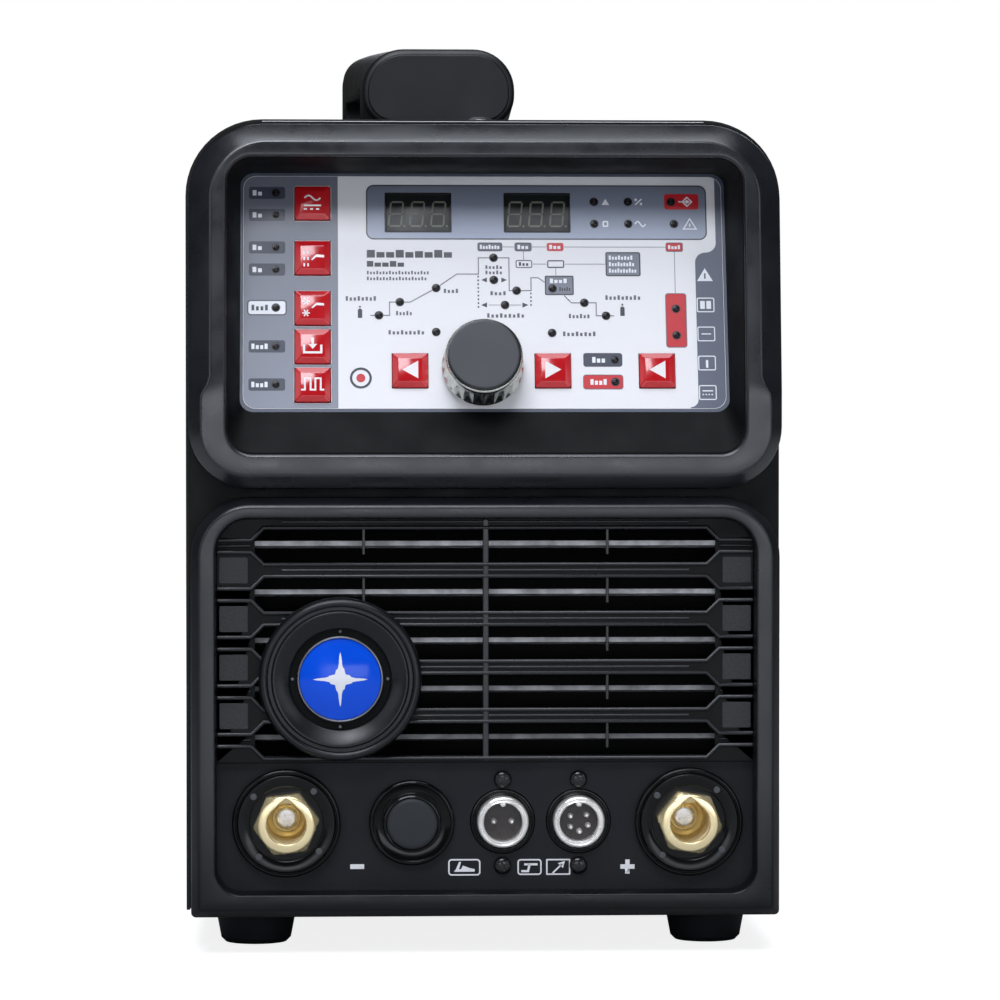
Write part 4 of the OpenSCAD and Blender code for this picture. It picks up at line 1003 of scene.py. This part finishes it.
def red_inks():
    boxes = ((*RED_TAG, 11.7, 5.6, 0.9), (*TAGS[1], 13.2, 4.8, 0.9), (*RED_BAR, 6.7, 18.8, 0.9),
             (24.4, 16, 5.7, 2.9, 0.6), (65.0, 16, 5.5, 2.9, 0.6))
    ink("label_red_tags", "ink_red", [rounded(*box) for box in boxes], 1)
    lines = ((*RED_BAR, 7.2, 19.3, 1.0, 0.3), (*TAGS[1], 13.6, 5.2, 1.0, 0.25),
             (65.0, 16, 5.9, 3.3, 0.7, 0.28))
    ink("label_red_lines", "ink_slate", frames_of(lines), 1)
    u, v = RED_TAG[0] + 1.9, RED_TAG[1]
    diamond = [[(u + r * x, v + r * y) for x, y in ((-1, 0), (0, -1), (1, 0), (0, 1))] for r in (1.9, 1.292)]
    ink("label_red_diamond", "ink_white", diamond, 2)
    ink("label_red_arrow", "ink_white", stroke([(u - 2.9, v), (u - 0.2, v)], 0.4), 2)
    ink("label_red_arrow_head", "ink_white", [triangle(u + 0.3, v, 1.4, 1.7)], 2)
    u, v = TAGS[1]
    rows = ((22.4, 26.6, 16, 1.5, 3, 0.7), (62.9, 67.3, 16, 1.4, 4, 0.7), (u - 4.3, u + 1.6, v, 2.0, 4, 0.7))
    ink("label_red_legends", "ink_white", all_letters(rows), 2)


def small_tags():
    dark = [rounded(2.2, 16, 8.2, 2.9, 0.6), rounded(13.5, 16, 5.6, 2.9, 0.6)]
    ink("label_grey_tags", "ink_slate", dark, 1)
    lines = ((13.7, 9.9, 5.6, 2.8, 0.6, 0.3), (24.5, 9.9, 5.8, 2.8, 0.6, 0.4),
             (47.4, 9.9, 11.9, 8.6, 0.7, 0.42), (25.6, 2.3, 9.8, 6.9, 0.5, 0.4),
             (2.2, 16, 8.4, 3.1, 0.7, 0.25), (13.5, 16, 5.8, 3.1, 0.7, 0.25))
    ink("label_tag_lines", "ink_dark", frames_of(lines), 1)
    grey = [rounded(47.4, 9.9, 11.2, 7.9, 0.5), rounded(25.6, 2.3, 9.1, 6.2, 0.4)]
    ink("label_grey_boxes", "film_grey", grey, 0)
    rows = ((-1.2, 5.7, 16, 1.5, 7, 0.7), (11.6, 15.6, 16, 1.5, 3, 0.7), (42.6, 51.0, 12.2, 1.5, 8, 0.66),
            (42.6, 51.5, 9.9, 1.5, 9, 0.66), (42.6, 52.2, 7.6, 1.5, 10, 0.66), (22.4, 28.6, 3.9, 1.6, 4, 0.7),
            (22.6, 26.6, 9.9, 1.4, 3, 0.7))
    ink("label_tag_legends", "ink_white", all_letters(rows), 2)
    rows = ((25.6, 29.6, 1.0, 1.3, 5), (12.0, 15.6, 9.9, 1.3, 3))
    ink("label_box_legend", "ink_dark", all_letters(rows), 2)


GRAPH_LINE = 0.34


def bottle(cx, cy):
    body = [(-0.75, -2.1), (0.75, -2.1), (0.75, 0.6), (0.35, 1.2), (-0.35, 1.2), (-0.75, 0.6)]
    return [[(cx + x, cy + y) for x, y in body], rounded(cx, cy + 1.85, 0.6, 0.7, 0.15)]


def graph():
    """Weld current over time, drawn as on the label of any such machine."""
    rise = [(-38.5, -8.4), (-32, -8.4), (-32, -3.7), (-25, -3.7), (-16.2, 1.3), (-9.1, 6.3), (-1.8, 6.3),
            (-1.8, 12.1), (8.6, 12.1), (8.6, 0.4), (16, 0.4), (16, 5.0), (18.5, 5.0), (20.6, 3.4)]
    fall = [(27.2, -1.3), (29.6, -3.9), (38, -3.9), (38, -8.5), (44, -8.5)]
    for i, line in enumerate((rise, fall)):
        ink(f"label_graph_{i}", "ink_line", stroke(line, GRAPH_LINE), 1)
    dots = []
    for u, top, count in ((-1.9, 5.4, 9), (15.9, -0.6, 4)):
        for i in range(count):
            v = top - 1.35 * i
            dots.append([(u - 0.25, v - 0.3), (u + 0.25, v - 0.3), (u + 0.25, v + 0.3), (u - 0.25, v + 0.3)])
    ink("label_graph_dots", "ink_dark", dots, 1)
    arrows = ((0.1, 4.2, 1.9, 1.7, 180), (6.9, 4.2, 1.9, 1.7), (0.0, -4.7, 2.0, 1.8, 180),
              (14.0, -4.7, 2.0, 1.8))
    ink("label_arrows", "ink_dark", [triangle(*arrow) for arrow in arrows], 1)
    thin = []
    for u0, v0, u1, v1 in ((1.6, -4.7, 5.4, -4.7), (8.8, -4.7, 12.6, -4.7), (16.5, 16, 21.4, 16),
                           (27.4, 16, 62.1, 16), (16.7, 9.9, 21.4, 9.9), (27.6, 9.9, 41.3, 9.9),
                           (65, 14.4, 65, -0.4), (6.5, 16, 10.5, 16), (13.6, 14.4, 13.6, 11.4),
                           (24.5, 8.4, 24.5, 5.9)):
        thin += stroke([(u0, v0), (u1, v1)], 0.2)
    ink("label_thin_lines", "ink_line", thin, 1)
    ink("label_bottles", "ink_dark", bottle(-42, -7.2) + bottle(46.9, -6.4), 1)


def legends():
    title = ((-39.6, -10.2, 13.5, 2.7, 9, 0.84), (-39.6, -26.6, 9.9, 2.0, 5, 0.84))
    ink("label_title", "ink_dark", all_letters(title), 1)
    rows = ((-39.6, -18.2, 6.8, 1.25, 20), (-39.6, -19.0, 4.7, 1.25, 19), (-46.8, -36.0, -2.4, 1.6, 8),
            (-29.8, -24.0, -7.6, 1.5, 5), (-13.6, -8.2, 0.3, 1.5, 4), (0.6, 6.7, 8.8, 1.3, 5),
            (0.6, 6.7, 6.9, 1.3, 5), (2.2, 8.0, -0.5, 1.4, 4), (1.0, 14.1, -8.4, 1.5, 9),
            (-32.4, -19.8, -14.4, 1.5, 9), (26.6, 38.2, -14.9, 1.6, 8), (28.7, 36.2, -8.6, 1.5, 6),
            (41.2, 53.6, -2.0, 1.6, 9))
    ink("label_legends", "ink_text", sum((letters(*row, fill=0.55) for row in rows), []), 1)
    mark_u, mark_v = -41.8, -30.5
    ink("label_round_mark", "ink_dark", [ring(mark_u, mark_v, 3.7), ring(mark_u, mark_v, 2.9)], 1)
    ink("label_round_dot", "ink_red", [ring(mark_u, mark_v, 1.5)], 1)


ICON_V = (-4.6, -14.9, -25.2, -35.6)


def icons():
    """Pictograms of the right strip, and the units beside the displays."""
    u = 75.2
    white = [triangle(u, 6.2, 4.6, 5.4, 90)] + frames_of((u, v, 6.0, 5.2, 0.6, 0.36) for v in ICON_V)
    white += [rounded(u - 1.05, -4.6, 1.6, 2.8, 0.2), rounded(u + 1.05, -4.6, 1.6, 2.8, 0.2)]
    white += flake(u, -14.9, 1.6, 0.4)[:1] + [rounded(u, -25.5, 0.8, 2.8, 0.3)]
    white += stroke([(u - 1.8, -35.0), (u + 1.8, -35.0)], 0.4)
    white += dashed(u - 1.8, -36.3, u + 2.2, -36.3, 0.4, 0.5)
    ink("label_icons", "ink_white", white, 1)
    ink("label_icon_mark", "film_slate", [rounded(u, 5.7, 0.5, 2.0, 0.2)], 2)
    units = [triangle(41.8, 32.2, 2.2, 2.6, 90), rounded(41.7, 24.3, 2.0, 2.2, 0.5),
             rounded(41.7, 24.3, 1.0, 1.2, 0.3)]
    units += stroke([(52.0, 31.2), (54.2, 33.3)], 0.45)
    units += [ring(52.2, 33.0, 0.45, 12), ring(54.0, 31.5, 0.45, 12)] + sine(53.6, 24.3, 3.6, 1.8, 0.42)
    units += stroke([(68.3, 22.5), (72.7, 22.5), (70.5, 26.2)], 0.4, closed=True)
    ink("label_units", "ink_white", units + [rounded(70.5, 23.9, 0.4, 1.2, 0.15)], 1)


def led_lenses():
    ink("label_led_rings", "ink_black", [ring(u, v, 1.5, 24) for u, v in LED_SPOTS], 3, "indicator_leds")
    profile = ((1.16, -1.0), (1.16, 0.2), (1.05, 0.32), (0.72, 0.36), (0.62, 0.28), (0.5, 0.28),
               (0.42, 0.36), (0.2, 0.4))
    bm = bmesh.new()
    for u, v in LED_SPOTS:
        loft(bm, turned(profile, 20, u, v), caps=True)
    obj = bake(mesh_object("led_lenses", bm, panel_frame()), 35)
    place(obj, "led_lens", replaces="indicator_leds")


def label():
    left_column()
    right_strip()
    display_window()
    pills()
    red_inks()
    small_tags()
    graph()
    legends()
    icons()
    led_lenses()


# ---------------------------------------------------------------- knob

KNOB_TOP = 16.6
FLUTES = 24


def knob():
    steps = 16 * FLUTES
    profile = ((12.6, 2.0, 0), (13.5, 2.1, 0), (13.75, 2.5, 0), (13.8, 3.1, 0), (13.75, 3.5, 0.25),
               (13.72, 4.2, 0.75), (13.55, 7.5, 0.85), (13.25, 10.8, 0.8), (13.12, 12.0, 0.55),
               (13.05, 12.9, 0.15), (13.02, 13.4, 0), (12.98, 14.6, 0), (12.85, 15.1, 0), (12.55, 15.35, 0),
               (11.6, 15.4, 0))
    loops = []
    for r, h, depth in profile:
        loop = []
        for i in range(steps):
            a = tau * i / steps
            dip = depth * abs(sin(FLUTES * a / 2))
            loop.append(((r - dip) * cos(a), (r - dip) * sin(a), h))
        loops.append(loop)
    skirt = bake(lofted("knob_fluted_skirt", loops, panel_frame(0, *KNOB_SPOT), caps=True), 50)
    place(skirt, "knob_metal", body="knob", replaces="knob_skirt")
    cap_profile = ((12.2, 15.3), (12.42, 15.42), (12.42, 16.1), (12.3, 16.4), (12.0, 16.52), (11.8, 16.5))
    cap = lathe("knob_cap_rim", cap_profile, panel_frame(0, *KNOB_SPOT), 128)
    place(cap, "gloss_black", body="knob", replaces="knob_cap")
    disc_profile = ((11.85, 16.0), (11.85, 16.5), (11.7, KNOB_TOP), (11.3, KNOB_TOP))
    disc = lathe("knob_cap_disc", disc_profile, panel_frame(0, *KNOB_SPOT), 128)
    place(disc, "knob_grey", body="knob", slot="knob_cap")


# ---------------------------------------------------------------- badge

BADGE_X, _, BADGE_Z = node_centre("badge_dome")


def badge():
    base = front_frame(BADGE_X, GRILLE_Y, BADGE_Z)
    ring_profile = ((26.6, 0), (27.3, 0.4), (27.3, 4.9), (27.0, 5.9), (26.2, 6.7), (25.4, 6.9), (24.7, 6.6),
                    (24.35, 6.0), (24.3, 4.4), (23.1, 4.4), (23.0, 5.4), (22.7, 5.8), (22.3, 5.9),
                    (21.8, 5.7), (17.6, 4.4), (17.2, 4.0), (17.1, 2.0), (14.4, 2.0), (14.3, 0.5))
    collar = lathe("badge_collar", ring_profile, base, 160)
    place(collar, "badge_black", replaces="badge_ring")
    pips = around(16.0, 0.55, 16, (0, 90, 180, 270))
    place(plate("badge_pips", pips, 0.7, base @ Matrix.Translation((0, 0, 1.9)), 0.15), "badge_pip",
          slot="badge_ring")
    edge_profile = ((14.5, 1.6), (14.55, 3.4), (14.3, 3.9), (13.9, 4.0), (13.65, 3.7), (13.6, 1.6))
    # dark ring in the step round the dome: painted shade in the groove
    annulus = ((14.4, 1.6), (17.1, 1.6), (17.1, 2.1), (14.4, 2.1))
    place(lathe("badge_annulus", annulus, base, 96, hollow=True), "recess_painted_shade", slot="badge_ring")
    place(lathe("badge_edge", edge_profile, base, 128, hollow=True), "gunmetal", slot="badge_ring")
    dome_r, rise = 13.62, 2.3
    ball = (dome_r ** 2 + rise ** 2) / (2 * rise)

    def dome_height(r):
        return 3.3 + rise - ball + sqrt(ball ** 2 - r ** 2)

    radii = [dome_r * (1 - i / 15) for i in range(1, 15)]
    dome_profile = [(dome_r, 1.8), (dome_r, 3.3)] + [(r, dome_height(r)) for r in radii]
    place(lathe("badge_dome_lens", dome_profile, base, 128), "badge_blue", replaces="badge_dome")
    spark = spark_loops(lambda r: dome_height(r) + 0.12)
    star = bake(lofted("badge_spark", spark, base, caps=True))
    place(star, "ink_white", slot="badge_dome")


def spark_loops(height):
    """Four-pointed spark that follows the dome; height gives the surface at a radius."""
    steps, points = 8, 8
    loops = []
    for k in range(steps):
        share = 1 - k / steps
        loop = []
        for i in range(points):
            r = (9.2 if i % 2 == 0 else 2.5) * share
            a = tau * i / points + pi / 2
            loop.append((r * cos(a), r * sin(a), height(r)))
        loops.append(loop)
    return loops


# ---------------------------------------------------------------- sockets and connectors

SOCKETS = {"negative": node_centre("negative_insert"), "positive": node_centre("positive_insert")}
HEX_FLAT = 9.75
BORE_R = 6.6
SOCKET_PIPS = (50, 140, 230, 320)


def hex_radius(angle, turn):
    """Distance from the middle to a hexagon's side in a direction, in degrees."""
    return HEX_FLAT / cos(radians((angle - turn) % 60 - 30))


def mouth_radius(angle, r):
    """Round mouth with a tear-drop key way at the top."""
    off = abs((angle - 90 + 180) % 360 - 180)
    return r + 2.1 * max(0.0, 1 - off / 34) ** 1.4


def socket_flange(side, centre):
    base = front_frame(centre.x, PANEL_Y, centre.z)
    profile = ((9.7, -18.0), (14.0, -18.0), (14.0, -0.1), (18.2, 0.0), (18.2, 2.8), (18.0, 3.3), (17.6, 3.6),
               (17.2, 3.6), (16.95, 3.2), (16.7, 3.2), (16.5, 4.5), (16.1, 4.9), (12.9, 4.9), (12.45, 4.6),
               (12.3, 1.3), (9.7, 1.3))
    obj = lathe(side + "_socket_flange", profile, base, 128, hollow=True)
    place(obj, "socket_black", replaces=side + "_flange", slot="socket_flange")
    pips = around(14.3, 1.15, 20, SOCKET_PIPS)
    marks = plate(side + "_socket_pips", pips, 0.4, base @ Matrix.Translation((0, 0, 4.8)), 0.16)
    place(marks, "socket_pip", slot="socket_flange")


def socket_insert(side, centre, turn):
    """Brass contact: hexagon outside, round bore with a key way, contact face at the bottom."""
    base = front_frame(centre.x, PANEL_Y, centre.z)
    shapes = {"round": lambda a, r: r, "mouth": mouth_radius,
              "hexagon": lambda a, r: min(hex_radius(a, turn), r)}
    steps = (("round", 5.0, -26), ("round", 9.6, -26), ("round", 9.6, 1.4), ("hexagon", 11.15, 1.4),
             ("hexagon", 11.15, 5.6), ("hexagon", 10.7, 6.3), ("hexagon", 10.0, 7.0), ("round", 9.55, 7.5),
             ("round", 9.2, 7.9), ("round", 8.9, 8.0), ("mouth", 6.95, 8.0), ("mouth", 6.7, 7.8),
             ("mouth", BORE_R, 7.4), ("mouth", BORE_R, 2.0), ("round", BORE_R, 1.4), ("round", BORE_R, -14),
             ("round", 6.3, -16.5), ("round", 4.4, -17.5), ("round", 3.7, -17.2), ("round", 3.5, -16.4),
             ("round", 3.2, -16.1))
    loops = []
    for shape, r, h in steps:
        reach = [(a, shapes[shape](a, r)) for a in range(0, 360, 3)]
        loops.append([(d * cos(radians(a)), d * sin(radians(a)), h) for a, d in reach])
    obj = bake(lofted(side + "_socket_brass", loops, base, caps=True), 32)
    place(obj, "brass", replaces=side + "_insert", slot="socket_insert")
    disc = lathe(side + "_socket_contact", ((3.7, -17.0), (3.7, -16.0), (3.4, -15.7), (2.6, -15.6)), base, 48)
    place(disc, "contact_silver", slot="socket_insert")


def blank_plug():
    centre = node_centre("blank_plug")
    profile = ((8.0, -10.0), (8.0, -0.05), (14.4, 0.0), (14.4, 2.0), (14.2, 2.5), (13.8, 2.85), (13.3, 2.9),
               (12.9, 2.6), (9.95, 2.4), (9.75, 2.7), (9.7, 5.6), (9.5, 6.2), (9.1, 6.4), (8.7, 6.3),
               (8.6, 5.4))
    base = front_frame(centre.x, PANEL_Y, centre.z)
    place(lathe("plug_cap", profile, base, 128), "socket_black", replaces="blank_plug")
    button = ((8.55, 4.8), (8.55, 6.4), (8.3, 6.95), (7.7, 7.25), (6.9, 7.35))
    place(lathe("plug_button", button, base, 96), "plug_matt", slot="blank_plug")


CONNECTOR_Z = node_centre("connector_inserts").z
SHELL_LOW, SHELL_HIGH = node_box("connector_shells")
SHELL_NUT_R = 9.6
CONNECTOR_X = (SHELL_LOW.x + SHELL_NUT_R, SHELL_HIGH.x - SHELL_NUT_R)


def connectors():
    for name, x in zip(("two_pole", "five_pole"), CONNECTOR_X):
        base = front_frame(x, PANEL_Y + 1.0, CONNECTOR_Z)
        shell = ((6.42, -14), (7.5, -14), (7.5, 0.0), (8.7, 0.1), (8.7, 4.6), (8.55, 5.2), (8.2, 5.6),
                 (7.8, 5.7), (7.55, 5.3), (7.3, 5.2), (7.1, 5.5), (6.8, 5.6), (6.5, 5.3), (6.42, 4.6))
        piece = lathe(name + "_shell", shell, base, 96, hollow=True)
        replaced = "connector_shells" if name == "two_pole" else None
        place(piece, "nickel", replaces=replaced, slot="connector_shells")
        key = lathe(name + "_key", ((1.15, 0.3), (1.15, 4.4), (0.9, 4.8), (0.5, 4.9)),
                    base @ Matrix.Translation((0, 6.2, 0)), 24)
        place(key, "nickel", slot="connector_shells")
        gasket = ((8.8, 0.02), (10.9, 0.02), (10.9, 0.9), (10.6, 1.3), (10.2, 1.35), (9.9, 0.9),
                  (9.0, 0.8), (8.8, 0.6))
        place(lathe(name + "_gasket", gasket, base, 96, hollow=True), "socket_black", slot="connector_panel")


def connector_pin_tips():
    """Bright rounded ends over the CAD pins."""
    for i, (x, z) in enumerate(front_spots("connector_pins")):
        tip = ((0.98, -9.6), (0.98, 0.6), (0.9, 1.0), (0.66, 1.3), (0.3, 1.45))
        obj = lathe(f"connector_pin_{i}", tip, front_frame(x, PANEL_Y + 1.0, z), 20)
        place(obj, "contact_silver", slot="connector_pins")


def cross_screws():
    """Gloss black pan heads, each with a cross recess turned its own way."""
    for i, (x, z) in enumerate(front_spots("connector_screws")):
        base = front_frame(x, PANEL_Y, z)
        profile = ((3.0, 0.0), (3.0, 0.7), (2.75, 1.3), (2.2, 1.75), (1.5, 1.95), (0.6, 2.0))
        head = lathe(f"connector_screw_{i}", profile, base, 40)
        cross = []
        for turn in (20 + 31 * i, 110 + 31 * i):
            c, s = cos(radians(turn)) * 1.7, sin(radians(turn)) * 1.7
            cross += stroke([(-c, -s), (c, s)], 0.62)
        cutters = [plate(f"cross_cut_{i}_{k}", [shape], 1.6, base @ Matrix.Translation((0, 0, 1.0)))
                   for k, shape in enumerate(cross)]
        for cutter in cutters:
            subtract(head, cutter)
        head = bake(head, 30)
        for cutter in cutters:
            bpy.data.objects.remove(cutter)
        place(head, "gloss_black", replaces="connector_screws" if i == 0 else None,
              slot="connector_screws")


def shifted(points, cx, cy):
    return [(cx + x, cy + y) for x, y in points]


def foot_pedal(cx, cy):
    corners = ((-3.6, -1.3), (3.4, -1.3), (3.4, -0.4), (1.8, -0.1), (-0.6, 0.8), (-1.2, -0.4), (-1.9, -0.5),
               (-1.2, 2.0), (-1.9, 2.0), (-3.0, -0.5))
    return [shifted(corners, cx, cy)]


def switch_mark(cx, cy):
    lever = shifted(((-2.9, -1.4), (-0.6, -1.4), (-0.1, 0.9), (2.6, 0.9)), cx, cy)
    return stroke(lever, 0.75), stroke(shifted(((-1.9, 0.9), (-0.1, 0.9)), cx, cy), 0.7)


def slider_mark(cx, cy):
    head = triangle(cx + 1.5, cy + 1.2, 2.2, 2.4, 45)
    return stroke(shifted(((-1.9, -2.1), (1.3, 1.0)), cx, cy), 0.55), [head]


def plus_sign(cx, cy, r, half):
    corners = [(r, half), (half, half), (half, r), (-half, r), (-half, half), (-r, half)]
    return shifted(corners, cx, cy) + shifted(((-x, -y) for x, y in corners), cx, cy)


def panel_marks():
    """White pictograms on the connector panel."""
    z = 28.9
    base = front_frame(0, PANEL_Y + 0.01, 0)
    boxes = ((-7.1, z, 10.9, 5.6, 1.2, 0.5), (14.9, z, 8.2, 5.4, 1.1, 0.5), (24.6, z, 8.2, 5.4, 0.3, 0.5))
    lever, arm = switch_mark(15.0, z)
    line, head = slider_mark(24.6, z)
    groups = {"boxes": frames_of(boxes), "pedal": foot_pedal(-7.0, z - 0.2), "switch": lever,
              "switch_arm": arm, "slider": line, "slider_head": head,
              "minus": [rounded(-43.2, 29.3, 4.7, 1.6, 0.1)],
              "plus": [plus_sign(48.0, 28.9, 2.4, 0.75)]}
    for name, shapes in groups.items():
        place(plate("panel_mark_" + name, shapes, 0.06, base), "panel_white", slot="connector_panel")


# ---------------------------------------------------------------- handle

HANDLE_Z = CASE_HIGH.z + 0.1
# Y, width, middle in X, height, top radius, bottom radius
HANDLE_SECTIONS = (
    (-146, 53, -14, 27, 14.4, 11), (-128, 53.4, -14, 28.2, 14.4, 10), (-108, 53.6, -14, 29.6, 14.2, 8),
    (-60, 54, -14.3, 33, 13, 6), (20, 58, -14.8, 38, 11, 3), (60, 61, -15, 40, 10, 2),
    (98, 61, -15, 40, 9, 2), (112, 58, -15, 25, 8, 2),
)


def handle():
    """Moulded grip with a finger gap, and the pressed-in cap on its front end."""
    loops = []
    for y, w, cx, h, top_r, bottom_r in HANDLE_SECTIONS:
        points = outline(w, HANDLE_Z, HANDLE_Z + h, top_r, bottom_r, 12)
        loops.append([(cx + x, y, z) for x, z in points])
    grip = lofted("carry_handle", loops, caps=True)
    gap = [(-104, -6)] + arc(-98, 9, 6, 180, 90, 8) + arc(46, 15, 6, 90, 0, 8) + [(52, -6)]
    cutter = lofted("finger_gap", [[(x, y, HANDLE_Z + z) for y, z in gap] for x in (-70, 50)], caps=True)
    subtract(grip, cutter)
    obj = bake(bevel(grip, 2.0, 4, 35), 40)
    bpy.data.objects.remove(cutter)
    place(obj, "handle_plastic", replaces="handle")
    y, w, cx, h, top_r, bottom_r = HANDLE_SECTIONS[0]
    inset = 1.9
    low, high = HANDLE_Z + inset, HANDLE_Z + h - inset
    edge = outline(w - 2 * inset, low, high, top_r - inset, bottom_r - inset, 12)
    cap = [(cx + x, z) for x, z in edge]
    place(plate("handle_end_cap", [cap], 1.6, front_frame(0, y + 1.0, 0), 0.5), "handle_cap", slot="handle")


# ---------------------------------------------------------------- stage

def softbox(name, location, target, size, power, colour=(0.88, 0.92, 1.0)):
    light = bpy.data.lights.new(name, "AREA")
    light.shape = "RECTANGLE"
    light.size, light.size_y = size
    light.energy = power
    light.color = colour
    obj = added(name, light)
    obj.location = location
    obj.rotation_euler = (Vector(target) - Vector(location)).to_track_quat("-Z", "Y").to_euler()
    obj.visible_camera = False
    return obj


# Nearest and farthest distance in metres, then the glow at each
FLOOR_GLOW = (0.3, 0.9, 0.84, 1.0)


def floor():
    """Pale floor that fades into the white backdrop for the camera."""
    bm = bmesh.new()
    bmesh.ops.create_grid(bm, x_segments=8, y_segments=8, size=12)
    mesh = bpy.data.meshes.new("floor")
    bm.to_mesh(mesh)
    bm.free()
    obj = added("floor", mesh)
    material = surface("floor_white", (0.5, 0.5, 0.51), 0.7, 80, vary=0.01, mottle=2, edge=0)
    tree = material.node_tree
    coords = add_node(tree, "TexCoord")
    far = add_node(tree, "VectorMath", links={0: coords.outputs["Object"]}, operation="LENGTH")
    glow = ranged(tree, far.outputs["Value"], *FLOOR_GLOW)
    seen = add_node(tree, "LightPath").outputs["Is Camera Ray"]
    strength = add_node(tree, "Math", links={0: seen, 1: glow}, operation="MULTIPLY")
    shader = tree.nodes["Principled BSDF"]
    shader.inputs["Emission Color"].default_value = (1, 1, 1, 1)
    tree.links.new(strength.outputs["Value"], shader.inputs["Emission Strength"])
    obj.data.materials.append(material)


def world():
    """White to the camera, much dimmer as light."""
    studio = bpy.data.worlds.new("studio")
    bpy.context.scene.world = studio
    studio.use_nodes = True
    tree = studio.node_tree
    background = tree.nodes["Background"]
    seen = add_node(tree, "LightPath").outputs["Is Camera Ray"]
    tree.links.new(ranged(tree, seen, 0, 1, 0.05, 1), background.inputs["Strength"])
    background.inputs["Color"].default_value = (1, 1, 1, 1)


def lights():
    softbox("key_top", (0.0, -0.5, 1.6), (0, -0.1, 0.15), (1.4, 0.8), 14)
    softbox("front_high", (-0.3, -1.6, 1.6), (0, -0.2, 0.2), (1.0, 0.6), 22)
    softbox("front_low", (0.15, -2.3, 0.25), (0, -0.2, 0.12), (1.7, 0.42), 7)
    softbox("right_strip", (1.1, -1.3, 0.5), (0, -0.1, 0.15), (0.4, 1.0), 2)
    softbox("left_strip", (-1.2, -1.2, 0.6), (0, -0.1, 0.15), (0.5, 1.0), 2)
    softbox("back_light", (0.3, 1.5, 1.1), (0, 0.1, 0.15), (1.2, 0.8), 6)


def camera():
    data = bpy.data.cameras.new("camera")
    data.sensor_width = 36
    data.lens = 156.6
    obj = added("camera", data)
    obj.location = (-0.060, -1.665, 0.187)
    target = Vector((0.0044, -0.215, 0.153))
    obj.rotation_euler = (target - obj.location).to_track_quat("-Z", "Y").to_euler()
    bpy.context.scene.camera = obj


finish_cad_nodes()
control_bezel()
cover_edge_highlight()
grille_bezel()
grille_face()
grille_pads()
interior_shade_sheet()
keys()
displays()
label()
knob()
badge()
for socket, turn in (("negative", 7), ("positive", -9)):
    socket_flange(socket, SOCKETS[socket])
    socket_insert(socket, SOCKETS[socket], turn)
blank_plug()
connectors()
connector_pin_tips()
cross_screws()
panel_marks()
handle()
floor()
world()
lights()
camera()
bpy.context.scene.view_settings.view_transform = "Standard"
